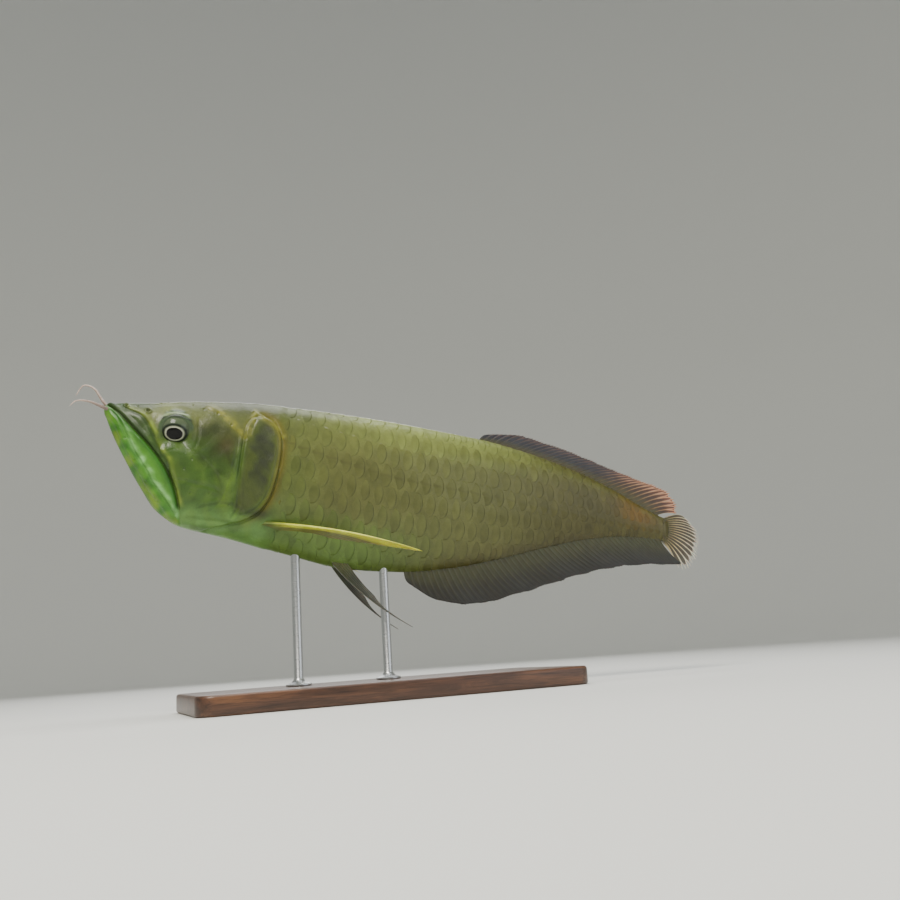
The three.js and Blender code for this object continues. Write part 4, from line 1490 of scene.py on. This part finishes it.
@dataclass(frozen=True)
class FinSkin:
    """A thin rayed membrane: pale bony rays in a darker web, both duller at the root."""

    name: str
    root: str
    web: str
    web_edge: str
    bone: str
    bone_edge: str
    front: str | None = None
    root_until: float = 0.42
    front_until: float = 0.4
    front_blur: float = 0.2
    roughness: float = 0.42
    mottle: float = 7.0
    joints: float = 180.0

    def material(self) -> bpy.types.Material:
        """Makes the material."""
        fin = Recipe(self.name)
        along, bone = fin.stored("Along"), fin.stored("Bone")
        outward = fin.spread(along, 0.3, 1.0, 0.0, 1.0, "SMOOTHSTEP")
        web = fin.mixed(outward, self.web, self.web_edge)
        colour = fin.mixed(bone, web, fin.mixed(outward, self.bone, self.bone_edge))
        if self.front is not None:
            low, high = self.front_until - self.front_blur, self.front_until + self.front_blur
            fore = fin.spread(fin.stored("Fan"), low, high, 0.85, 0.0, "SMOOTHSTEP")
            colour = fin.mixed(fore, colour, self.front)
        inner = fin.spread(along, 0.05, self.root_until, 1.0, 0.0, "SMOOTHSTEP")
        clouds = fin.noise(self.mottle, 4.0)
        mottled = fin.mottled(fin.mixed(inner, colour, self.root), clouds, 0.8, 1.15)
        beads = fin.maths("SINE", fin.maths("MULTIPLY", along, self.joints))
        relief = fin.maths("MULTIPLY_ADD", fin.maths("MULTIPLY", beads, bone), 0.35, clouds)
        return fin.finish({
            "Base Color": mottled, "Roughness": self.roughness, "IOR": 1.42, "Coat Weight": 0.2,
            "Coat Roughness": 0.25, "Subsurface Weight": 0.15, "Subsurface Scale": 0.002},
            relief, 0.25, 0.0003)


@dataclass(frozen=True)
class GlassEye:
    """A polished glass eye, painted behind: pupil, pale ring and dull green surround."""

    pupil: float = 26.5
    ring: float = 34.5
    streaks: float = 46.0
    mottle: float = 2.5

    def material(self) -> bpy.types.Material:
        """Makes the material."""
        eye = Recipe("glass_eye")
        jitter = eye.maths("MULTIPLY_ADD", eye.noise(self.mottle, 4.0), 3.0, eye.stored("Off"))
        share = eye.maths("DIVIDE", eye.maths("SUBTRACT", jitter, 1.5), Eyeball.back_edge)
        bands = eye.ramp(share, "#060706", "#4E5A45", [
            (degrees / Eyeball.back_edge, colour) for degrees, colour in (
                (self.pupil - 1.0, "#050505"), (self.pupil + 1.0, "#7F8272"),
                (self.pupil + 3.5, "#AFB29C"), (self.ring - 2.5, "#8C9079"),
                (self.ring + 1.0, "#4A5240"), (self.ring + 4.0, "#161B16"),
                (self.ring + 8.0, "#20281F"), (self.ring + 15.0, "#4C5743"), (80.0, "#566248"),
            )])
        rays = eye.maths("MULTIPLY", eye.stored("Turn"), FULL_TURN * self.streaks)
        streak = eye.spread(eye.maths("SINE", rays), -1.0, 1.0, 0.9, 1.05)
        return eye.finish({
            "Base Color": eye.scaled(bands, streak), "Roughness": 0.25, "IOR": 1.33,
            "Specular IOR Level": 0.12, "Coat Weight": 0.6, "Coat IOR": 1.34,
            "Coat Roughness": 0.02})


@dataclass(frozen=True)
class BarbelSkin:
    """Soft barbel skin, brown at the root and pale and rosy at the tip."""

    mottle: float = 2.5

    def material(self) -> bpy.types.Material:
        """Makes the material."""
        barbel = Recipe("barbel_skin")
        colour = barbel.mixed(barbel.stored("Along"), "#5E4A40", "#C2AC9E")
        clouds = barbel.noise(self.mottle, 3.0)
        return barbel.finish({
            "Base Color": barbel.mottled(colour, clouds, 0.75, 1.15), "Roughness": 0.4,
            "IOR": 1.42, "Coat Weight": 0.3, "Coat Roughness": 0.2}, clouds, 0.3, 0.0003)


@dataclass(frozen=True)
class OiledWalnut:
    """Sawn and oiled walnut: long wavy grain with open pores and a satin shine."""

    grain: float = 9.0
    pore: float = 0.9

    def material(self) -> bpy.types.Material:
        """Makes the material."""
        wood = Recipe("oiled_walnut")
        wave = wood.noise(self.grain, 6.0, Vector=wood.stretched((0.09, 1.0, 1.0)),
                          Roughness=0.65, Distortion=1.2)
        tone = node(wood.tree, "ShaderNodeValToRGB", {"Fac": wave})
        first, last = tone.color_ramp.elements
        first.position, last.position = 0.3, 0.72
        first.color, last.color = to_linear("#2E1D14"), to_linear("#6E4A31")
        tone.color_ramp.elements.new(0.5).color = to_linear("#4D3223")
        pores = wood.noise(self.pore, 2.0, Vector=wood.stretched((0.04, 1.0, 1.0)))
        dark = wood.spread(pores, 0.52, 0.66, 0.0, 0.55)
        return wood.finish({
            "Base Color": wood.mixed(dark, tone.outputs["Color"], "#20140D"), "Roughness": 0.38,
            "IOR": 1.5, "Coat Weight": 0.15, "Coat Roughness": 0.3},
            wood.maths("SUBTRACT", 1.0, dark), 0.3, 0.0002)


@dataclass(frozen=True)
class BrushedSteel:
    """Turned and brushed stainless steel: fine rings round the rod."""

    line: float = 0.35

    def material(self) -> bpy.types.Material:
        """Makes the material."""
        steel = Recipe("brushed_steel")
        rings = steel.noise(self.line, 2.0, Vector=steel.stretched((0.03, 0.03, 1.0)))
        return steel.finish({
            "Base Color": to_linear("#C6C8CA"), "Metallic": 1.0,
            "Roughness": steel.spread(rings, 0.0, 1.0, 0.2, 0.42)}, rings, 0.15, 0.0001)


@dataclass(frozen=True)
class StudioPaper:
    """Pale, matt backdrop paper."""

    colour: str = "#D9DAD6"
    grain: float = 3.0

    def material(self) -> bpy.types.Material:
        """Makes the material."""
        paper = Recipe("studio_paper")
        look = {"Base Color": to_linear(self.colour), "Roughness": 0.85}
        return paper.finish(look, paper.noise(self.grain, 2.0), 0.05)


@dataclass
class Studio:
    """The pale floor and backdrop, the soft lights and the camera."""

    lens: float = 36.8
    camera_place: tuple[float, float, float] = (-0.2601, -0.8009, 0.0337)
    yaw: float = 23.0
    tilt: float = 12.5
    roll: float = 4.0

    def backdrop(self) -> bpy.types.Object:
        """Builds the floor, swept up all round into a wall in one soft curve."""
        around, flat, bend, high = 96, 2.2, 1.0, 5.0
        rise = np.radians(90 * np.arange(1, 25) / 24)
        reach = np.concatenate([[0.6, flat], flat + bend * np.sin(rise), [flat + bend]])
        heights = np.concatenate([[0, 0], bend * (1 - np.cos(rise)), [high]])
        turns = circle(around)
        rings = reach[:, None, None] * np.stack([np.cos(turns), np.sin(turns), 0 * turns], axis=-1)
        rings[..., 2] = heights[:, None]
        middle = rings[:1].mean(axis=1)
        faces = tube_faces(len(reach), around)
        faces += [(len(reach) * around, k, (k + 1) % around) for k in range(around)]
        points = np.vstack([rings.reshape(-1, 3), middle])
        paper = make_piece("studio_paper", points, faces, closed=False)
        paper.data.materials.append(StudioPaper().material())
        return paper

    def camera(self) -> None:
        """Sets the camera where the photograph was taken from."""
        yaw, tilt, roll = (math.radians(a) for a in (self.yaw, self.tilt, self.roll))
        level = Vector((math.sin(yaw), math.cos(yaw), 0))
        right = Vector((math.cos(yaw), -math.sin(yaw), 0))
        ahead = level * math.cos(tilt) + Vector((0, 0, math.sin(tilt)))
        up = -level * math.sin(tilt) + Vector((0, 0, math.cos(tilt)))
        rolled = right * math.cos(roll) - up * math.sin(roll)
        upward = right * math.sin(roll) + up * math.cos(roll)
        axes = Matrix((rolled, upward, -ahead)).transposed()
        data = bpy.data.cameras.new("camera")
        data.lens = self.lens
        data.sensor_width = 36.0
        data.clip_start = 0.01
        camera = bpy.data.objects.new("camera", data)
        camera.matrix_world = Matrix.Translation(self.camera_place) @ axes.to_4x4()
        bpy.context.scene.collection.objects.link(camera)
        bpy.context.scene.camera = camera

    def light(
        self, name: str, place: tuple[float, float, float], size: float, power: float,
        colour: str = "#FFFFFF",
    ) -> None:
        """Hangs a soft square light that shines on the fish."""
        data = bpy.data.lights.new(name, "AREA")
        data.shape = "SQUARE"
        data.size = size
        data.energy = power
        data.color = to_linear(colour)[:3]
        lamp = bpy.data.objects.new(name, data)
        target = Vector((0.02, 0.0, 0.2))
        lamp.location = place
        lamp.rotation_euler = (target - Vector(place)).to_track_quat("-Z", "Y").to_euler()
        bpy.context.scene.collection.objects.link(lamp)

    def build(self) -> None:
        """Sets up the whole studio."""
        self.backdrop()
        self.camera()
        self.light("key_light", (-0.7, -1.0, 1.4), 0.7, 36, "#FFF9EE")
        self.light("fill_light", (1.3, -1.3, 0.6), 1.2, 7, "#F2F7FF")
        self.light("top_light", (0.1, 0.05, 1.5), 0.9, 15)
        self.light("back_light", (0.3, 1.3, 1.0), 1.0, 8)
        world = bpy.data.worlds.new("studio_air")
        world.use_nodes = True
        world.node_tree.nodes["Background"].inputs["Color"].default_value = to_linear("#E6EAEC")
        world.node_tree.nodes["Background"].inputs["Strength"].default_value = 0.5
        bpy.context.scene.world = world


class Arowana:
    """The whole model: the fish's skin, scales, eyes, barbels and fins, and its stand."""

    flesh = ["head", "lower_jaw", "gill_cover_left", "gill_cover_right", "trunk", "tail"]

    def __init__(self) -> None:
        """Draws the form that every piece follows."""
        self.form = BodyForm()
        self.head = HeadForm()
        self.eye = EyeSocket()
        self.painter = Painter(self.form, self.head)

    def place(
        self, piece: bpy.types.Object, finish: bpy.types.Material, slot: str, nodes: list[str]
    ) -> None:
        """Dresses a piece, hangs it from the root and hides the solids that it replaces.

        Args:
            piece: The piece.
            finish: Its material.
            slot: Not used.
            nodes: The nodes of the solid that it replaces.
        """
        piece.data.materials.clear()
        piece.data.materials.append(finish)
        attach(piece, "root")
        if nodes:
            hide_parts(*nodes)
        log.info("%s placed", piece.name)

    def fins(self) -> list[tuple[Fin, FinSkin]]:
        """Returns every fin with its finish."""
        rosy = FinSkin("rosy_fin", "#423E20", "#3A2C22", "#5E3A2C", "#8C6F4C", "#E4AC86",
                       front="#232830", front_until=0.66, front_blur=0.13)
        tail = FinSkin("tail_fin", "#4A4524", "#40392C", "#554D42", "#D0BC86", "#F8F0DC")
        dark = FinSkin("dark_fin", "#36371A", "#222113", "#171613", "#2F2D18", "#24221C",
                       root_until=0.6)
        pelvic = FinSkin("pelvic_fin", "#3F4424", "#31342C", "#2F3232", "#565742", "#8C8A7E")
        yellow = FinSkin("yellow_fin", "#5B6A28", "#4C5220", "#55572A", "#868A2E", "#8F8C48",
                         front="#C6CC2A", root_until=0.2, front_until=0.3, front_blur=0.14)
        dorsal = MedianFin(
            "dorsal_rays", "dorsal_fin", "rosy_fin", 38, 2.2, across=10, edge_line=self.form.back,
            start=0.607, stop=0.975, upwards=1.0, sag=(-0.6, 2.2), seed=11,
            length=[(0, 12), (0.12, 30), (0.3, 37), (0.7, 42), (0.88, 45), (1, 25)],
            angle=[(0, 38), (0.25, 24), (0.6, 16), (0.85, 22), (1, 11)], scallop=0.09, ragged=0.03)
        anal = MedianFin(
            "anal_rays", "anal_fin", "dark_fin", 54, 2.4, edge_line=self.form.belly,
            start=0.489, stop=0.982, upwards=-1.0, sag=(-0.8, 2.6), seed=12,
            wave=3.0, waves=0.95, wave_start=0.0,
            length=[(0, 10), (0.07, 30), (0.2, 42), (0.5, 45), (0.85, 47), (1, 35)],
            angle=[(0, 62), (0.12, 52), (0.3, 38), (0.6, 29), (0.85, 31), (1, 38)],
            scallop=0.02)
        caudal = TailFin(
            "tail_rays", "caudal_fin", "rosy_fin", 15, 6.5, across=16, rows=36, fork=0.72,
            scallop=0.14, ragged=0.02, ridge=0.65, seed=13, form=self.form)
        made = [(dorsal, rosy), (anal, dark), (caudal, tail)]
        for name, side in SIDES.items():
            made.append((PairedFin(
                f"pectoral_rays_{name}", f"pectoral_fin_{name}", "yellow_fin", 7, 3.0,
                across=16, rows=48, seed=14, form=self.form, side=side,
                first_root=(134, -89), last_root=(151, -92), first_tip=(261, -89, -109),
                last_tip=(194, -29, -97), sag=(3, -7, 4), sag_loss=0.6, spread=0.8,
                scallop=0.01, ragged=0.004), yellow))
            made.append((PairedFin(
                f"pelvic_rays_{name}", f"pelvic_fin_{name}", "dark_fin", 6, 2.4,
                across=16, rows=44, seed=15, form=self.form, side=side,
                first_root=(203, -113), last_root=(218, -113), first_tip=(281, -20, -166),
                last_tip=(242, -13, -140), sag=(-3.5, -1.5, -4), scallop=0.01, ragged=0.004,
                reach=[(0, 1), (0.06, 0.98), (0.16, 0.84), (0.4, 0.66), (1, 0.5)]), pelvic))
        return made

    def build(self) -> None:
        """Builds and dresses every piece."""
        skin = Skin(self.form, self.head, self.eye, self.painter).build()
        self.place(skin, WetSkin().material(), "olive_skin", self.flesh)
        scale = FishScale().material()
        coat = Scales(self.form, self.painter)
        for name, side in SIDES.items():
            self.place(coat.build(side, f"scales_{name}"), scale, "olive_skin", [])
        glass = GlassEye().material()
        for name, side in SIDES.items():
            ball = Eyeball(self.form, self.eye).build(side, f"glass_eye_{name}")
            self.place(ball, glass, "eye", [f"eye_{name}"])
        soft = BarbelSkin().material()
        lines = {
            "left": [(4, -3, -9), (-7, -8, -7), (-17, -11, -5.5), (-26, -13, -7.5),
                     (-30, -14, -13)],
            "right": [(4, 3, -9), (-6, 7, 2), (-14, 10, 12), (-23, 12, 14), (-28, 13, 4)],
        }
        for name, line in lines.items():
            self.place(Barbel(line).build(f"chin_barbel_{name}"), soft, "barbel_skin",
                       [f"barbel_{name}"])
        for fin, finish in self.fins():
            self.place(fin.build(), finish.material(), fin.slot, [fin.node])
        stand = Stand(self.form)
        self.place(stand.board(), OiledWalnut().material(), "stand_wood", ["stand_base"])
        steel = BrushedSteel().material()
        for name, x in zip(("front", "rear"), stand.rods):
            rod = stand.upright(x, f"steel_rod_{name}")
            self.place(rod, steel, "stand_steel", [f"stand_rod_{name}"])


def main() -> None:
    """Builds the model and its studio, and notes their sizes."""
    logging.basicConfig(level=logging.INFO, format="%(message)s")
    bpy.ops.object.select_all(action="DESELECT")
    Arowana().build()
    Studio().build()


if __name__ == "__main__":
    main()
